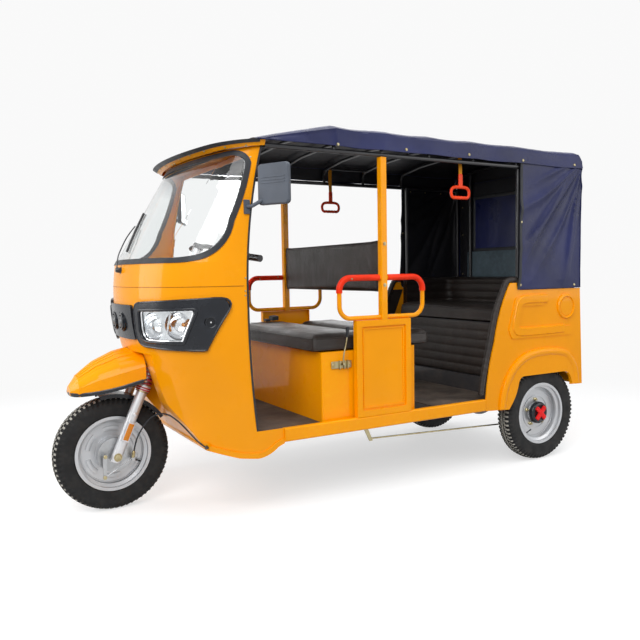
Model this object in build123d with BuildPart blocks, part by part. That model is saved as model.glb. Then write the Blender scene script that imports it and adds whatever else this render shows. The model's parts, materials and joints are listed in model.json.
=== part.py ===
from build123d import *
import os
from collections import namedtuple
from functools import cache
from math import asin, atan2, cos, radians, sin, sqrt

# An auto rickshaw: a three-wheeled passenger car with a moulded cab, open sides and a cloth roof.
# Millimetres. +X points forward, +Y to the vehicle's left and +Z up. The origin is on the ground,
# in the middle of the vehicle's length and width.

# ---------------------------------------------------------------- driving dimensions
seat_gap = 0.3
joint_gap = 0.05

# wheels
wheel_radius = 265
tyre_half_width = 49
bead_radius = 166
rim_radius = 174
rim_half_width = 42
rim_wall = 4
well_radius = 150
wheelbase = 2290
front_axle_x = 1170
rear_axle_x = front_axle_x - wheelbase
track_half = 467

# steering and front fork
rake = 23.5
steering_offset = 35
leg_spread = 98
leg_radius = 24
damper_radius = 15
slider_length = 318
collar_length = 26
spring_length = 100
spring_radius = 31
spring_wire = 8
spring_turns = 5
crown_thickness = 16
reflector_height = 122
reflector_length = 92
axle_radius = 9
axle_half_length = 132
stem_radius = 19
tower_radius = 150
tower_wall = 4
tower_bottom = 150
tower_height = 380
bar_height = 1045
bar_radius = 11
grip_radius = 16
grip_length = 118

# front brake and its cable
plate_y = 62
plate_radius = 80
plate_thickness = 8
arm_y = 97
arm_top = (1222, 270)
arm_foot = (1226, 174)
cable_radius = 3.5
cable_route = [
    (1097, 97, 251), (1089, 101, 297), (1078, 107, 339), (1061, 117, 376), (1036, 132, 418),
    (1009, 154, 446), (980, 182, 456), (954, 216, 450), (937, 257, 433), (929, 289, 422),
    (921, 319, 408), (899, 359, 375), (883, 391, 350), (866, 431, 335),
]

# cab
cab_wall = 5
cab_back_x = 400
form_top = 1670
belt_height = 1138
sill_top = 393
sill_bottom = 330
sill_front_x = 526
door_return = 24
seal_width = 22
seal_proud = 4
seal_depth = 9
glass_thickness = 5
lip_width = 20
lip_proud = 5
edge_bead = 8
visor_tip_x = 862
visor_tip_height = 1634
visor_rear_x = 592
visor_slope = 0.115
visor_height = 26
visor_wall = 4

# lamps and horns
lamp_turn = 45
bezel_depth = 12
lens_depth = 6
reflector_depth = 70
bowl_radius = 62
panel_half_width = 176
panel_bottom = 800
panel_top = 956
horn_radius = 46
horn_y = 62

# front mudguard and the inner guard on the fork
hood_wall = 4
hood_flutes = 5
flute_depth = 4
guard_radius = 277
guard_thickness = 3
guard_half_width = 56
guard_front_angle = 78
guard_rear_angle = 147

# body and floor
body_half_width = 530
body_skin = 8
sill_inner_y = 500
rail_y = 320
rail_width = 40
rail_top = 378
rail_bottom = 335
rail_front_x = 840
rail_rear_x = -1400
floor_thickness = 6
mat_thickness = 4
door_edge_x = -678
body_rear_x = -1410
body_rear_foot_x = -1435
body_top = 972
body_bottom = 410
arch_top = 495
edge_pad_radius = 17

# seats and side openings
seat_half_width = 492
seat_box_front_x = 310
seat_box_rear_x = -235
seat_box_top = 714
driver_cushion_front_x = 360
driver_cushion_rear_x = -4
bench_front_x = -86
bench_rear_x = -346
cushion_height = 80
backrest_bottom = 981
backrest_top = 1243
backrest_thickness = 62
backrest_x = -42
box_front_x = 138
box_rear_x = -180
box_top = 856
box_depth = 30
box_frame = 30
box_recess = 8
pillar_x = -26
pillar_y = 513
pillar_width = 34
pillar_wall = 2.5
rail_tube = 11
loop_front_x = 222
loop_rear_x = -266
loop_top = 1058
loop_corner = 60
grip_thickness = 4
grip_drop = 70
rear_seat_front_x = -831
rear_seat_rear_x = -1290
rear_deck_top = 790
rear_seat_top = 880
rear_backrest_top = 1040
riser_x = -846
riser_step = 20
riser_step_top = 478
riser_depth = 24
well_half_width = 400
seat_sheet = 4

# roof
rail_height = 1640
roof_tube = 11
bow_tube = 9
bow_rise = 124
valance_bottom = 1662
valance_half_width = 542
shoulder_height = 1752
crown_height = 1795
peak_x = 240
canopy_front_x = 634
canopy_rear_x = -1412
canopy_cloth = 5
curtain_thickness = 4
curtain_front_x = -930
handle_y = 470
handle_rail_height = 1726
handle_rail_radius = 7

# running gear
spring_half_length = 262
spring_rise = 14
leaf_thickness = 5
leaf_count = 3
axle_tube = 30
axle_pad = 6
drum_radius = 62
drum_y = 402
motor_radius = 78
motor_length = 190
motor_face = 104
brake_arm_drop = 70
brake_rod_radius = 4
brake_rod_front = (12, 452, 262)
brake_rod_rear_y = 384

os.makedirs("parts", exist_ok=True)


def finish(builder, label):
    """Name one finished piece and write its file."""
    builder.part.label = label
    export_step(builder.part, f"parts/{label}.step")


# ---------------------------------------------------------------- cab form
CabRow = namedtuple("CabRow", "height nose_x half_width nose_radius corner_radius")
lower_rows = (
    CabRow(240, 955, 515, 900, 290),
    CabRow(440, 995, 521, 900, 290),
    CabRow(640, 1052, 523, 900, 290),
    CabRow(840, 1100, 524, 900, 290),
    CabRow(1035, 1110, 524, 900, 285),
    CabRow(belt_height, 1100, 523, 900, 280),
)
upper_rows = (
    CabRow(belt_height, 1100, 523, 900, 280),
    CabRow(1390, 950, 517, 1000, 210),
    CabRow(form_top, 772, 506, 1300, 130),
)
visor_rows = (
    CabRow(1600, 797, 505, 1300, 140),
    CabRow(form_top, 931, 533, 1100, 220),
)


def roof_line(x, drop):
    """The height of the cab's sloping roof edge, lowered by a drop."""
    return visor_tip_height + (visor_tip_x - x) * visor_slope - drop


def plan_outline(row, inset):
    """Draw the cab's plan outline at one height: bowed nose, round corners and straight sides."""
    half = row.half_width - inset
    corner = row.corner_radius - inset
    nose = row.nose_radius - inset
    nose_centre_x = row.nose_x - row.nose_radius
    corner_y = row.half_width - row.corner_radius
    reach = sqrt((row.nose_radius - row.corner_radius) ** 2 - corner_y**2)
    corner_x = nose_centre_x + reach
    turn = atan2(corner_y, reach)
    middle = (turn + radians(90)) / 2
    back_x = cab_back_x + inset
    shoulder = (corner_x + corner * cos(middle), corner_y + corner * sin(middle))
    join = (nose_centre_x + nose * cos(turn), nose * sin(turn))
    with BuildSketch(Plane.XY.offset(row.height)) as outline:
        with BuildLine():
            Line((back_x, -half), (back_x, half))
            Line((back_x, half), (corner_x, half))
            ThreePointArc((corner_x, half), shoulder, join)
            ThreePointArc(join, (nose_centre_x + nose, 0), (join[0], -join[1]))
            ThreePointArc((join[0], -join[1]), (shoulder[0], -shoulder[1]), (corner_x, -half))
            Line((corner_x, -half), (back_x, -half))
        make_face()
    return outline.sketch


def belly_outline(inset):
    """Draw the cab's side outline: belly, raked front bulkhead above the wheel, and roof."""
    back_x = cab_back_x - 50
    front_x = cab_back_x + 900
    back_top = roof_line(back_x, visor_height)
    front_top = roof_line(front_x, visor_height)
    with BuildSketch(Plane.XZ) as outline:
        with BuildLine():
            Line((back_x, back_top), (front_x, front_top))
            Line((front_x, front_top), (front_x, 770))
            Line((front_x, 770), (1040, 735))
            ThreePointArc((1040, 735), (1012, 618), (975, 505))
            Line((975, 505), (857, 322))
            Line((857, 322), (735, 286))
            Line((735, 286), (655, 277))
            ThreePointArc((655, 277), (600, 290), (560, 316))
            Line((560, 316), (sill_front_x, sill_bottom))
            Line((sill_front_x, sill_bottom), (back_x, sill_bottom))
            Line((back_x, sill_bottom), (back_x, back_top))
        make_face()
        if inset:
            offset(amount=-inset)
    return outline.sketch


@cache
def cab_form(inset):
    """The cab's outer form, drawn in by an inset on every side."""
    with BuildPart() as form:
        loft([plan_outline(row, inset) for row in lower_rows])
        loft([plan_outline(row, inset) for row in upper_rows])
        extrude(belly_outline(inset), amount=700, both=True, mode=Mode.INTERSECT)
    return form.part


def door_line(growth):
    """Draw the area behind the door edge, whose front side is the door edge itself."""
    with BuildSketch(Plane.XZ) as outline:
        with BuildLine():
            Line((0, 100), (sill_front_x, 100))
            Line((sill_front_x, 100), (sill_front_x, sill_top))
            Line((sill_front_x, sill_top), (660, sill_top))
            ThreePointArc((660, sill_top), (683, 640), (693, 950))
            ThreePointArc((693, 950), (670, 1345), (598, form_top))
            Line((598, form_top), (0, form_top))
            Line((0, form_top), (0, 100))
        make_face()
        if growth:
            offset(amount=growth)
    return outline.sketch


def window_outline(inset):
    """Draw the windscreen's side outline, open at the nose so that it wraps round the front."""
    with BuildSketch(Plane.XZ) as outline:
        with BuildLine():
            Line((1300, 1618 - 582 * visor_slope), (718, 1618))
            ThreePointArc((718, 1618), (672, 1601), (653, 1560))
            ThreePointArc((653, 1560), (690, 1433), (742, 1310))
            ThreePointArc((742, 1310), (797, 1207), (880, 1153))
            ThreePointArc((880, 1153), (940, 1141), (1010, belt_height))
            Line((1010, belt_height), (1300, belt_height))
            Line((1300, belt_height), (1300, 1618 - 582 * visor_slope))
        make_face()
        if inset:
            offset(amount=-inset)
    return outline.sketch


lamp_plane = Plane(
    origin=(0, 0, 0),
    x_dir=(-sin(radians(lamp_turn)), cos(radians(lamp_turn)), 0),
    z_dir=(cos(radians(lamp_turn)), sin(radians(lamp_turn)), 0),
).offset(500)


def bezel_outline():
    """Draw the headlight surround, pointed at its rear top corner."""
    with BuildSketch(lamp_plane) as outline:
        with BuildLine():
            FilletPolyline(
                (-632, 969), (-632, 775), (-262, 764), (-146, 994), radius=(42, 70, 16, 42), close=True
            )
        make_face()
    return outline.sketch


def lens_outline(inset, depth=0):
    """Draw the headlight's clear lens, with its slanted rear end."""
    with BuildSketch(lamp_plane.offset(depth)) as outline:
        with BuildLine():
            FilletPolyline(
                (-584, 934), (-584, 803), (-358, 803), (-296, 941), radius=(16, 50, 10, 16), close=True
            )
        make_face()
        if inset:
            offset(amount=-inset)
    return outline.sketch


steering_plane = Plane(
    origin=(front_axle_x, 0, wheel_radius),
    x_dir=(cos(radians(rake)), 0, sin(radians(rake))),
    z_dir=(-sin(radians(rake)), 0, cos(radians(rake))),
)

with BuildPart() as flange:
    add(cab_form(cab_wall - 1))
    add(cab_form(cab_wall + door_return), mode=Mode.SUBTRACT)
    extrude(door_line(cab_wall), amount=700, both=True, mode=Mode.INTERSECT)
    with Locations((sill_front_x + 60, 0, sill_top + 40)):
        Box(400, 1200, 1300, align=(Align.MIN, Align.CENTER, Align.MIN), mode=Mode.INTERSECT)
with BuildPart() as lip:
    add(cab_form(-lip_proud))
    add(cab_form(cab_wall), mode=Mode.SUBTRACT)
    extrude(belly_outline(lip_width), amount=700, both=True, mode=Mode.SUBTRACT)
    with Locations((sill_front_x, 0, 200)):
        Box(345, 1200, 153, align=(Align.MIN, Align.CENTER, Align.MIN), mode=Mode.INTERSECT)
with BuildPart() as cab_shell:
    add(cab_form(0))
    add(cab_form(cab_wall), mode=Mode.SUBTRACT)
    add(flange.part)
    add(lip.part)
    extrude(door_line(0), amount=700, both=True, mode=Mode.SUBTRACT)
    extrude(window_outline(0), amount=700, both=True, mode=Mode.SUBTRACT)
    lamp_hole = extrude(lens_outline(0), amount=600, mode=Mode.SUBTRACT)
    mirror(lamp_hole, about=Plane.XZ, mode=Mode.SUBTRACT)
    with BuildSketch(steering_plane.offset(tower_bottom)):
        with Locations((-steering_offset, 0)):
            Circle(tower_radius + tower_wall + seat_gap)
    extrude(amount=tower_height + 10, mode=Mode.SUBTRACT)
finish(cab_shell, "cab_shell")

with BuildPart() as windscreen_seal:
    add(cab_form(-seal_proud))
    add(cab_form(seal_depth), mode=Mode.SUBTRACT)
    extrude(window_outline(0), amount=700, both=True, mode=Mode.INTERSECT)
    extrude(window_outline(seal_width), amount=700, both=True, mode=Mode.SUBTRACT)
finish(windscreen_seal, "windscreen_seal")

with BuildPart() as windscreen:
    add(cab_form(1))
    add(cab_form(1 + glass_thickness), mode=Mode.SUBTRACT)
    extrude(window_outline(seal_width), amount=700, both=True, mode=Mode.INTERSECT)
finish(windscreen, "windscreen")


@cache
def visor_form(inset):
    """The lip over the windscreen, which flares outwards from the cab up to the roof edge."""
    with BuildPart() as form:
        loft([plan_outline(row, inset) for row in visor_rows], ruled=True)
    return form.part


def roof_band(low, high):
    """Draw the side outline of a band along the sloping roof edge, between two drops from it."""
    front_x = visor_tip_x + 200
    with BuildSketch(Plane.XZ) as outline:
        with BuildLine():
            Polyline(
                (visor_rear_x, roof_line(visor_rear_x, low)), (front_x, roof_line(front_x, low)),
                (front_x, roof_line(front_x, high)), (visor_rear_x, roof_line(visor_rear_x, high)),
                close=True,
            )
        make_face()
    return outline.sketch


with BuildPart() as visor_hollow:
    add(visor_form(visor_wall))
    extrude(roof_band(visor_height, visor_wall), amount=700, both=True, mode=Mode.INTERSECT)
with BuildPart() as roof_visor:
    add(visor_form(0))
    extrude(roof_band(visor_height, 0), amount=700, both=True, mode=Mode.INTERSECT)
    add(visor_hollow.part, mode=Mode.SUBTRACT)
    add(cab_form(-seat_gap), mode=Mode.SUBTRACT)
finish(roof_visor, "roof_visor")

# ---------------------------------------------------------------- lamps and horns
with BuildPart() as headlight_bezels:
    add(cab_form(-bezel_depth))
    add(cab_form(-seat_gap), mode=Mode.SUBTRACT)
    extrude(bezel_outline(), amount=600, mode=Mode.INTERSECT)
    extrude(lens_outline(0), amount=600, mode=Mode.SUBTRACT)
    with BuildSketch(lamp_plane):
        with Locations((-244, 886)):
            Circle(20)
    extrude(amount=600, mode=Mode.SUBTRACT)
    mirror(about=Plane.XZ)
finish(headlight_bezels, "headlight_bezels")

with BuildPart() as headlight_lenses:
    add(cab_form(-lens_depth))
    add(cab_form(-seat_gap), mode=Mode.SUBTRACT)
    extrude(lens_outline(seat_gap), amount=600, mode=Mode.INTERSECT)
    mirror(about=Plane.XZ)
finish(headlight_lenses, "headlight_lenses")

# the block behind each lens, with one bowl for the headlamp and one for the turn signal
BowlSpot = namedtuple("BowlSpot", "across height depth")
bowl_spots = (BowlSpot(-508, 868, 452), BowlSpot(-382, 872, 484))
with BuildPart() as headlight_reflectors:
    extrude(lens_outline(seat_gap, bowl_spots[0].depth - reflector_depth), amount=200)
    add(cab_form(seat_gap), mode=Mode.INTERSECT)
    for spot in bowl_spots:
        with Locations(lamp_plane.offset(spot.depth)):
            with Locations((spot.across, spot.height, 0)):
                Sphere(bowl_radius, mode=Mode.SUBTRACT)
    mirror(about=Plane.XZ)
finish(headlight_reflectors, "headlight_reflectors")

panel_height = (panel_bottom + panel_top) / 2
with BuildPart() as horn_panel:
    add(cab_form(-bezel_depth))
    add(cab_form(-seat_gap), mode=Mode.SUBTRACT)
    with BuildSketch(Plane.YZ.offset(900)):
        with Locations((0, panel_height)):
            RectangleRounded(2 * panel_half_width, panel_top - panel_bottom, 12)
        with Locations((-horn_y, panel_height), (horn_y, panel_height)):
            Circle(horn_radius, mode=Mode.SUBTRACT)
    extrude(amount=400, mode=Mode.INTERSECT)
finish(horn_panel, "horn_panel")

horn_face_x = lower_rows[3].nose_x + 11
with BuildPart() as horns:
    for side in (-1, 1):
        with BuildSketch(Plane.YZ.offset(horn_face_x)):
            with Locations((side * horn_y, panel_height)):
                Circle(horn_radius - seat_gap)
        extrude(amount=8)
        with BuildSketch(Plane.YZ.offset(horn_face_x + 8)):
            with Locations((side * horn_y, panel_height)):
                Circle(horn_radius - 7)
                Circle(horn_radius - 15, mode=Mode.SUBTRACT)
                Circle(horn_radius - 28)
        extrude(amount=4)
finish(horns, "horns")

# ---------------------------------------------------------------- front mudguard
# a fluted hood that tapers forwards from the cab over the front wheel
HoodRow = namedtuple("HoodRow", "x half_width low top")
hood_rows = (
    HoodRow(1352, 40, 556, 592),
    HoodRow(1320, 84, 553, 634),
    HoodRow(1240, 116, 562, 694),
    HoodRow(1150, 142, 578, 733),
    HoodRow(1000, 168, 618, 765),
)


def hood_section(row, inset):
    """Draw one arched section of the mudguard, with its lengthwise flutes."""
    half = row.half_width - inset
    foot = row.low - inset
    top = row.top - inset
    rise = row.low + 0.45 * (row.top - row.low)
    radius = (half**2 + (top - rise) ** 2) / (2 * (top - rise))
    reach = asin(half / radius)
    centre = top - radius
    step = 2 * reach / hood_flutes
    with BuildSketch(Plane.YZ.offset(row.x - inset)) as section:
        with BuildLine():
            Line((half, rise), (half, foot))
            Line((half, foot), (-half, foot))
            Line((-half, foot), (-half, rise))
            for flute in range(hood_flutes):
                start = -reach + flute * step
                crest = radius + flute_depth * half / hood_rows[-1].half_width
                ThreePointArc(
                    (radius * sin(start), centre + radius * cos(start)),
                    (crest * sin(start + step / 2), centre + crest * cos(start + step / 2)),
                    (radius * sin(start + step), centre + radius * cos(start + step)),
                )
        make_face()
    return section.sketch


@cache
def hood_form(inset):
    """Loft the mudguard's sections from its tip back to the cab."""
    with BuildPart() as form:
        loft([hood_section(row, inset) for row in hood_rows], ruled=True)
    return form.part


def hood_edge_band(low, high):
    """Draw the side outline of a band along the mudguard's lower edge, between two heights."""
    with BuildSketch(Plane.XZ) as outline:
        with BuildLine():
            Polyline(
                *[(row.x, row.low + low) for row in hood_rows],
                *[(row.x, row.low + high) for row in reversed(hood_rows)],
                close=True,
            )
        make_face()
    return outline.sketch


with BuildPart() as front_mudguard:
    add(hood_form(0))
    add(hood_form(hood_wall), mode=Mode.SUBTRACT)
    add(cab_form(-seat_gap), mode=Mode.SUBTRACT)
    with Locations((900, 0, 500)):
        Box(140, 600, 400, align=(Align.MIN, Align.CENTER, Align.MIN), mode=Mode.SUBTRACT)
finish(front_mudguard, "front_mudguard")

# rubber beads on the cab's door edges, the roof edge and the mudguard's lower edge
with BuildPart() as door_beads:
    add(cab_form(-3))
    add(cab_form(cab_wall + 3), mode=Mode.SUBTRACT)
    extrude(door_line(-joint_gap), amount=700, both=True, mode=Mode.INTERSECT)
    extrude(door_line(-edge_bead), amount=700, both=True, mode=Mode.SUBTRACT)
    with Locations((sill_front_x + 60, 0, sill_top + edge_bead)):
        Box(400, 1200, 1300, align=(Align.MIN, Align.CENTER, Align.MIN), mode=Mode.INTERSECT)
with BuildPart() as roof_bead:
    add(visor_form(-4))
    add(visor_form(-joint_gap), mode=Mode.SUBTRACT)
    extrude(roof_band(12, -2), amount=700, both=True, mode=Mode.INTERSECT)
    with Locations((visor_rear_x + 26, 0, 1500)):
        Box(400, 1200, 300, align=(Align.MIN, Align.CENTER, Align.MIN), mode=Mode.INTERSECT)
with BuildPart() as hood_bead:
    add(hood_form(-3))
    add(hood_form(-joint_gap), mode=Mode.SUBTRACT)
    extrude(hood_edge_band(-2, 11), amount=300, both=True, mode=Mode.INTERSECT)
    with Locations((1040, 0, 500)):
        Box(320, 600, 400, align=(Align.MIN, Align.CENTER, Align.MIN), mode=Mode.INTERSECT)
    add(cab_form(-seat_gap), mode=Mode.SUBTRACT)
with BuildPart() as edge_trims:
    add(door_beads.part)
    add(roof_bead.part)
    add(hood_bead.part)
finish(edge_trims, "edge_trims")

# ---------------------------------------------------------------- mirrors
mirror_turn = 28
mirror_width = 160
mirror_height = 174
mirror_depth = 26
mirror_centre = (592, 604, 1464)
mirror_bracket_height = 1372
bracket_x = 684
head_plane = Plane(
    origin=mirror_centre,
    x_dir=(-sin(radians(mirror_turn)), cos(radians(mirror_turn)), 0),
    z_dir=(-cos(radians(mirror_turn)), -sin(radians(mirror_turn)), 0),
)
with BuildPart() as mirror_housings:
    with BuildSketch(head_plane.offset(-mirror_depth / 2)):
        RectangleRounded(mirror_width, mirror_height, 18)
    extrude(amount=mirror_depth)
    fillet(mirror_housings.faces().sort_by(Axis.X)[-1].edges(), 8)
    with BuildSketch(head_plane.offset(mirror_depth / 2)):
        RectangleRounded(mirror_width - 12, mirror_height - 12, 12)
    extrude(amount=-4, mode=Mode.SUBTRACT)
    with BuildSketch(head_plane.offset(-mirror_depth / 2)):
        with Locations((0, -6), (0, -18), (0, -30)):
            RectangleRounded(mirror_width - 36, 5, 2)
    extrude(amount=-2)
    with Locations((bracket_x, 500, mirror_bracket_height)):
        Box(26, 26, 60, align=(Align.CENTER, Align.MIN, Align.CENTER))
    with BuildLine() as arm:
        FilletPolyline(
            (bracket_x, 520, mirror_bracket_height), (bracket_x - 10, 552, mirror_bracket_height),
            (mirror_centre[0] + 32, mirror_centre[1] - 48, mirror_centre[2] - 64), radius=10,
        )
    with BuildSketch(arm.line ^ 0):
        Circle(8)
    sweep(path=arm.line)
    add(cab_form(-seat_gap), mode=Mode.SUBTRACT)
    mirror(about=Plane.XZ)
finish(mirror_housings, "mirror_housings")

with BuildPart() as mirror_glasses:
    with BuildSketch(head_plane.offset(mirror_depth / 2 - 3.7)):
        RectangleRounded(mirror_width - 13, mirror_height - 13, 11.5)
    extrude(amount=2.5)
    mirror(about=Plane.XZ)
finish(mirror_glasses, "mirror_glasses")

# ---------------------------------------------------------------- chassis and floor
axle_seat_height = wheel_radius + axle_tube + axle_pad
hanger_height = rail_bottom - axle_seat_height - leaf_count * leaf_thickness - spring_rise - seat_gap
outrigger_reach = sill_inner_y - joint_gap
outrigger_xs = (470, 60, -350)
with BuildPart() as chassis_frame:
    rail_centre_x = (rail_front_x + rail_rear_x) / 2
    for side in (-1, 1):
        with Locations((rail_centre_x, side * rail_y, rail_bottom)):
            Box(
                rail_front_x - rail_rear_x, rail_width, rail_top - rail_bottom,
                align=(Align.CENTER, Align.CENTER, Align.MIN),
            )
    with Locations([(x, 0, rail_bottom) for x in (800, *outrigger_xs, -740, -1360)]):
        Box(40, 2 * rail_y, rail_top - rail_bottom, align=(Align.CENTER, Align.CENTER, Align.MIN))
    with Locations([(x, 0, rail_bottom + 8) for x in outrigger_xs]):
        Box(36, 2 * outrigger_reach, 30, align=(Align.CENTER, Align.CENTER, Align.MIN))
    for x in (rear_axle_x - spring_half_length + 12, rear_axle_x + spring_half_length - 12):
        with Locations((x, -rail_y, rail_bottom), (x, rail_y, rail_bottom)):
            Box(24, rail_width, hanger_height, align=(Align.CENTER, Align.CENTER, Align.MAX))
finish(chassis_frame, "chassis_frame")

floor_rear_x = riser_x - seat_sheet
floor_top = rail_top + floor_thickness
with BuildPart() as footwell:
    add(cab_form(cab_wall + seat_gap))
    with Locations((sill_front_x, 0, rail_top)):
        Box(
            1000, 2 * body_half_width, floor_thickness,
            align=(Align.MIN, Align.CENTER, Align.MIN), mode=Mode.INTERSECT,
        )
with BuildPart() as floor_pan:
    with Locations((floor_rear_x, 0, rail_top)):
        Box(
            sill_front_x - floor_rear_x, 2 * (sill_inner_y - seat_gap), floor_thickness,
            align=(Align.MIN, Align.CENTER, Align.MIN),
        )
    add(footwell.part)
finish(floor_pan, "floor_pan")

mat_front_x = bench_rear_x - 10
with BuildPart() as floor_mats:
    with BuildSketch(Plane.XY.offset(floor_top)):
        with Locations(((mat_front_x + riser_x + riser_step + seat_gap) / 2, 0)):
            RectangleRounded(mat_front_x - riser_x - riser_step - seat_gap, 2 * seat_half_width, 15)
        with Locations(((seat_box_front_x + 680) / 2 + 4, 0)):
            RectangleRounded(680 - seat_box_front_x - 8, 2 * seat_half_width, 15)
    extrude(amount=mat_thickness)
finish(floor_mats, "floor_mats")

with BuildPart() as sills:
    sill_length = sill_front_x - seat_gap - door_edge_x
    sill_depth = body_half_width - sill_inner_y
    for side in (-1, 1):
        with Locations((door_edge_x, side * (sill_inner_y + sill_depth / 2), sill_bottom)):
            Box(sill_length, sill_depth, sill_top - sill_bottom, align=(Align.MIN, Align.CENTER, Align.MIN))
    fillet(sills.edges().filter_by(Axis.X), 8)
finish(sills, "sills")

# ---------------------------------------------------------------- driver's bench
with BuildPart() as seat_box:
    with BuildSketch(Plane.XY.offset(floor_top)):
        with Locations(((seat_box_front_x + seat_box_rear_x) / 2, 0)):
            RectangleRounded(seat_box_front_x - seat_box_rear_x, 2 * seat_half_width, 12)
    extrude(amount=seat_box_top - floor_top)
    offset(amount=-seat_sheet, openings=seat_box.faces().sort_by(Axis.Z)[0])
finish(seat_box, "seat_box")


def seat_cushion(front_x, rear_x, half_width, bottom, top):
    """A loose seat cushion with a soft upper edge."""
    with BuildPart() as cushion:
        with BuildSketch(Plane.XY.offset(bottom + seat_gap)):
            with Locations(((front_x + rear_x) / 2, 0)):
                RectangleRounded(front_x - rear_x, 2 * half_width, 30)
        extrude(amount=top - bottom - seat_gap)
        fillet(cushion.faces().sort_by(Axis.Z)[-1].edges(), 22)
    return cushion


driver_cushion = seat_cushion(
    driver_cushion_front_x, driver_cushion_rear_x, seat_half_width, seat_box_top, seat_box_top + cushion_height
)
finish(driver_cushion, "driver_cushion")
bench_cushion = seat_cushion(
    bench_front_x, bench_rear_x, seat_half_width, seat_box_top, seat_box_top + cushion_height - 6
)
finish(bench_cushion, "bench_cushion")

pillar_inner_y = pillar_y - pillar_width / 2
with BuildPart() as backrest_pad:
    with BuildSketch(Plane.XZ.offset(seat_gap - pillar_inner_y)):
        with Locations((backrest_x, (backrest_bottom + backrest_top) / 2)):
            RectangleRounded(backrest_thickness, backrest_top - backrest_bottom, 14)
    extrude(amount=2 * (pillar_inner_y - seat_gap))
finish(backrest_pad, "backrest_pad")

# ---------------------------------------------------------------- side openings
box_bottom = sill_top + seat_gap
box_centre = ((box_front_x + box_rear_x) / 2, (box_bottom + box_top) / 2)
box_width = box_front_x - box_rear_x
box_height = box_top - box_bottom
box_face = Plane.XZ.offset(-body_half_width)
with BuildPart() as pillar_boxes:
    with BuildSketch(box_face):
        with Locations(box_centre):
            Rectangle(box_width, box_height)
    extrude(amount=box_depth)
    with BuildSketch(box_face):
        with Locations(box_centre):
            RectangleRounded(box_width - 2 * box_frame, box_height - 2 * box_frame, 8)
    extrude(amount=box_recess, mode=Mode.SUBTRACT)
    with BuildSketch(box_face.offset(box_recess)):
        with Locations(box_centre):
            RectangleRounded(box_width - 2.6 * box_frame, box_height - 2.6 * box_frame, 8)
            RectangleRounded(
                box_width - 3 * box_frame, box_height - 3 * box_frame, 6, mode=Mode.SUBTRACT
            )
    extrude(amount=-box_recess / 2)
    with BuildSketch(box_face.offset(box_depth)):
        with Locations(box_centre):
            Rectangle(box_width - 6, box_height - 6)
    extrude(amount=box_recess + 3 - box_depth, mode=Mode.SUBTRACT)
    mirror(about=Plane.XZ)
finish(pillar_boxes, "pillar_boxes")

with BuildPart() as door_pillars:
    with BuildSketch(Plane.XY.offset(box_top + seat_gap)):
        with Locations((pillar_x, -pillar_y), (pillar_x, pillar_y)):
            RectangleRounded(pillar_width, pillar_width, 4)
            RectangleRounded(
                pillar_width - 2 * pillar_wall, pillar_width - 2 * pillar_wall, 2, mode=Mode.SUBTRACT
            )
    extrude(amount=rail_height - roof_tube - box_top - 2 * seat_gap)
finish(door_pillars, "door_pillars")

loop_bottom = box_top + rail_tube + seat_gap
pillar_reach = pillar_width / 2 + seat_gap
with BuildPart() as handrails:
    for end_x, side in ((loop_front_x, 1), (loop_rear_x, -1)):
        start_x = pillar_x + side * pillar_reach
        with BuildLine(Plane.XZ.offset(-pillar_y)) as loop:
            FilletPolyline(
                (start_x, loop_bottom), (end_x, loop_bottom), (end_x, loop_top), (start_x, loop_top),
                radius=loop_corner,
            )
        with BuildSketch(loop.line ^ 0):
            Circle(rail_tube)
        sweep(path=loop.line)
    mirror(about=Plane.XZ)
finish(handrails, "handrails")

with BuildPart() as handrail_grips:
    for end_x, side in ((loop_front_x, 1), (loop_rear_x, -1)):
        start_x = pillar_x + side * (pillar_reach + 8)
        with BuildLine(Plane.XZ.offset(-pillar_y)) as grip:
            FilletPolyline(
                (end_x, loop_top - grip_drop), (end_x, loop_top), (start_x, loop_top), radius=loop_corner
            )
        with BuildSketch(grip.line ^ 0):
            Circle(rail_tube + grip_thickness)
            Circle(rail_tube + joint_gap, mode=Mode.SUBTRACT)
        sweep(path=grip.line)
    mirror(about=Plane.XZ)
finish(handrail_grips, "handrail_grips")

brake_foot = (205, 645)
lever_y = seat_half_width + 17
with BuildPart() as parking_brake:
    with Locations((brake_foot[0], seat_half_width + seat_gap, brake_foot[1])):
        Box(112, 5, 30, align=(Align.CENTER, Align.MIN, Align.CENTER))
        Box(20, 16, 44, align=(Align.CENTER, Align.MIN, Align.CENTER))
    with BuildLine(Plane.XZ.offset(-lever_y)) as lever:
        FilletPolyline(brake_foot, (214, 700), (172, 748), (180, 786), radius=(24, 24))
    with BuildSketch(lever.line ^ 0):
        Circle(5.5)
    sweep(path=lever.line)
    with BuildSketch(Plane.XZ.offset(-lever_y)):
        with BuildLine():
            FilletPolyline((180, 782), (191, 782), (195, 822), (180, 830), radius=(2, 5), close=False)
            Line((180, 830), (180, 782))
        make_face()
    revolve(axis=Axis((180, lever_y, 782), (0, 0, 1)))
finish(parking_brake, "parking_brake")

# ---------------------------------------------------------------- rear body
flare_height = 10
emboss_height = 5


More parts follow.
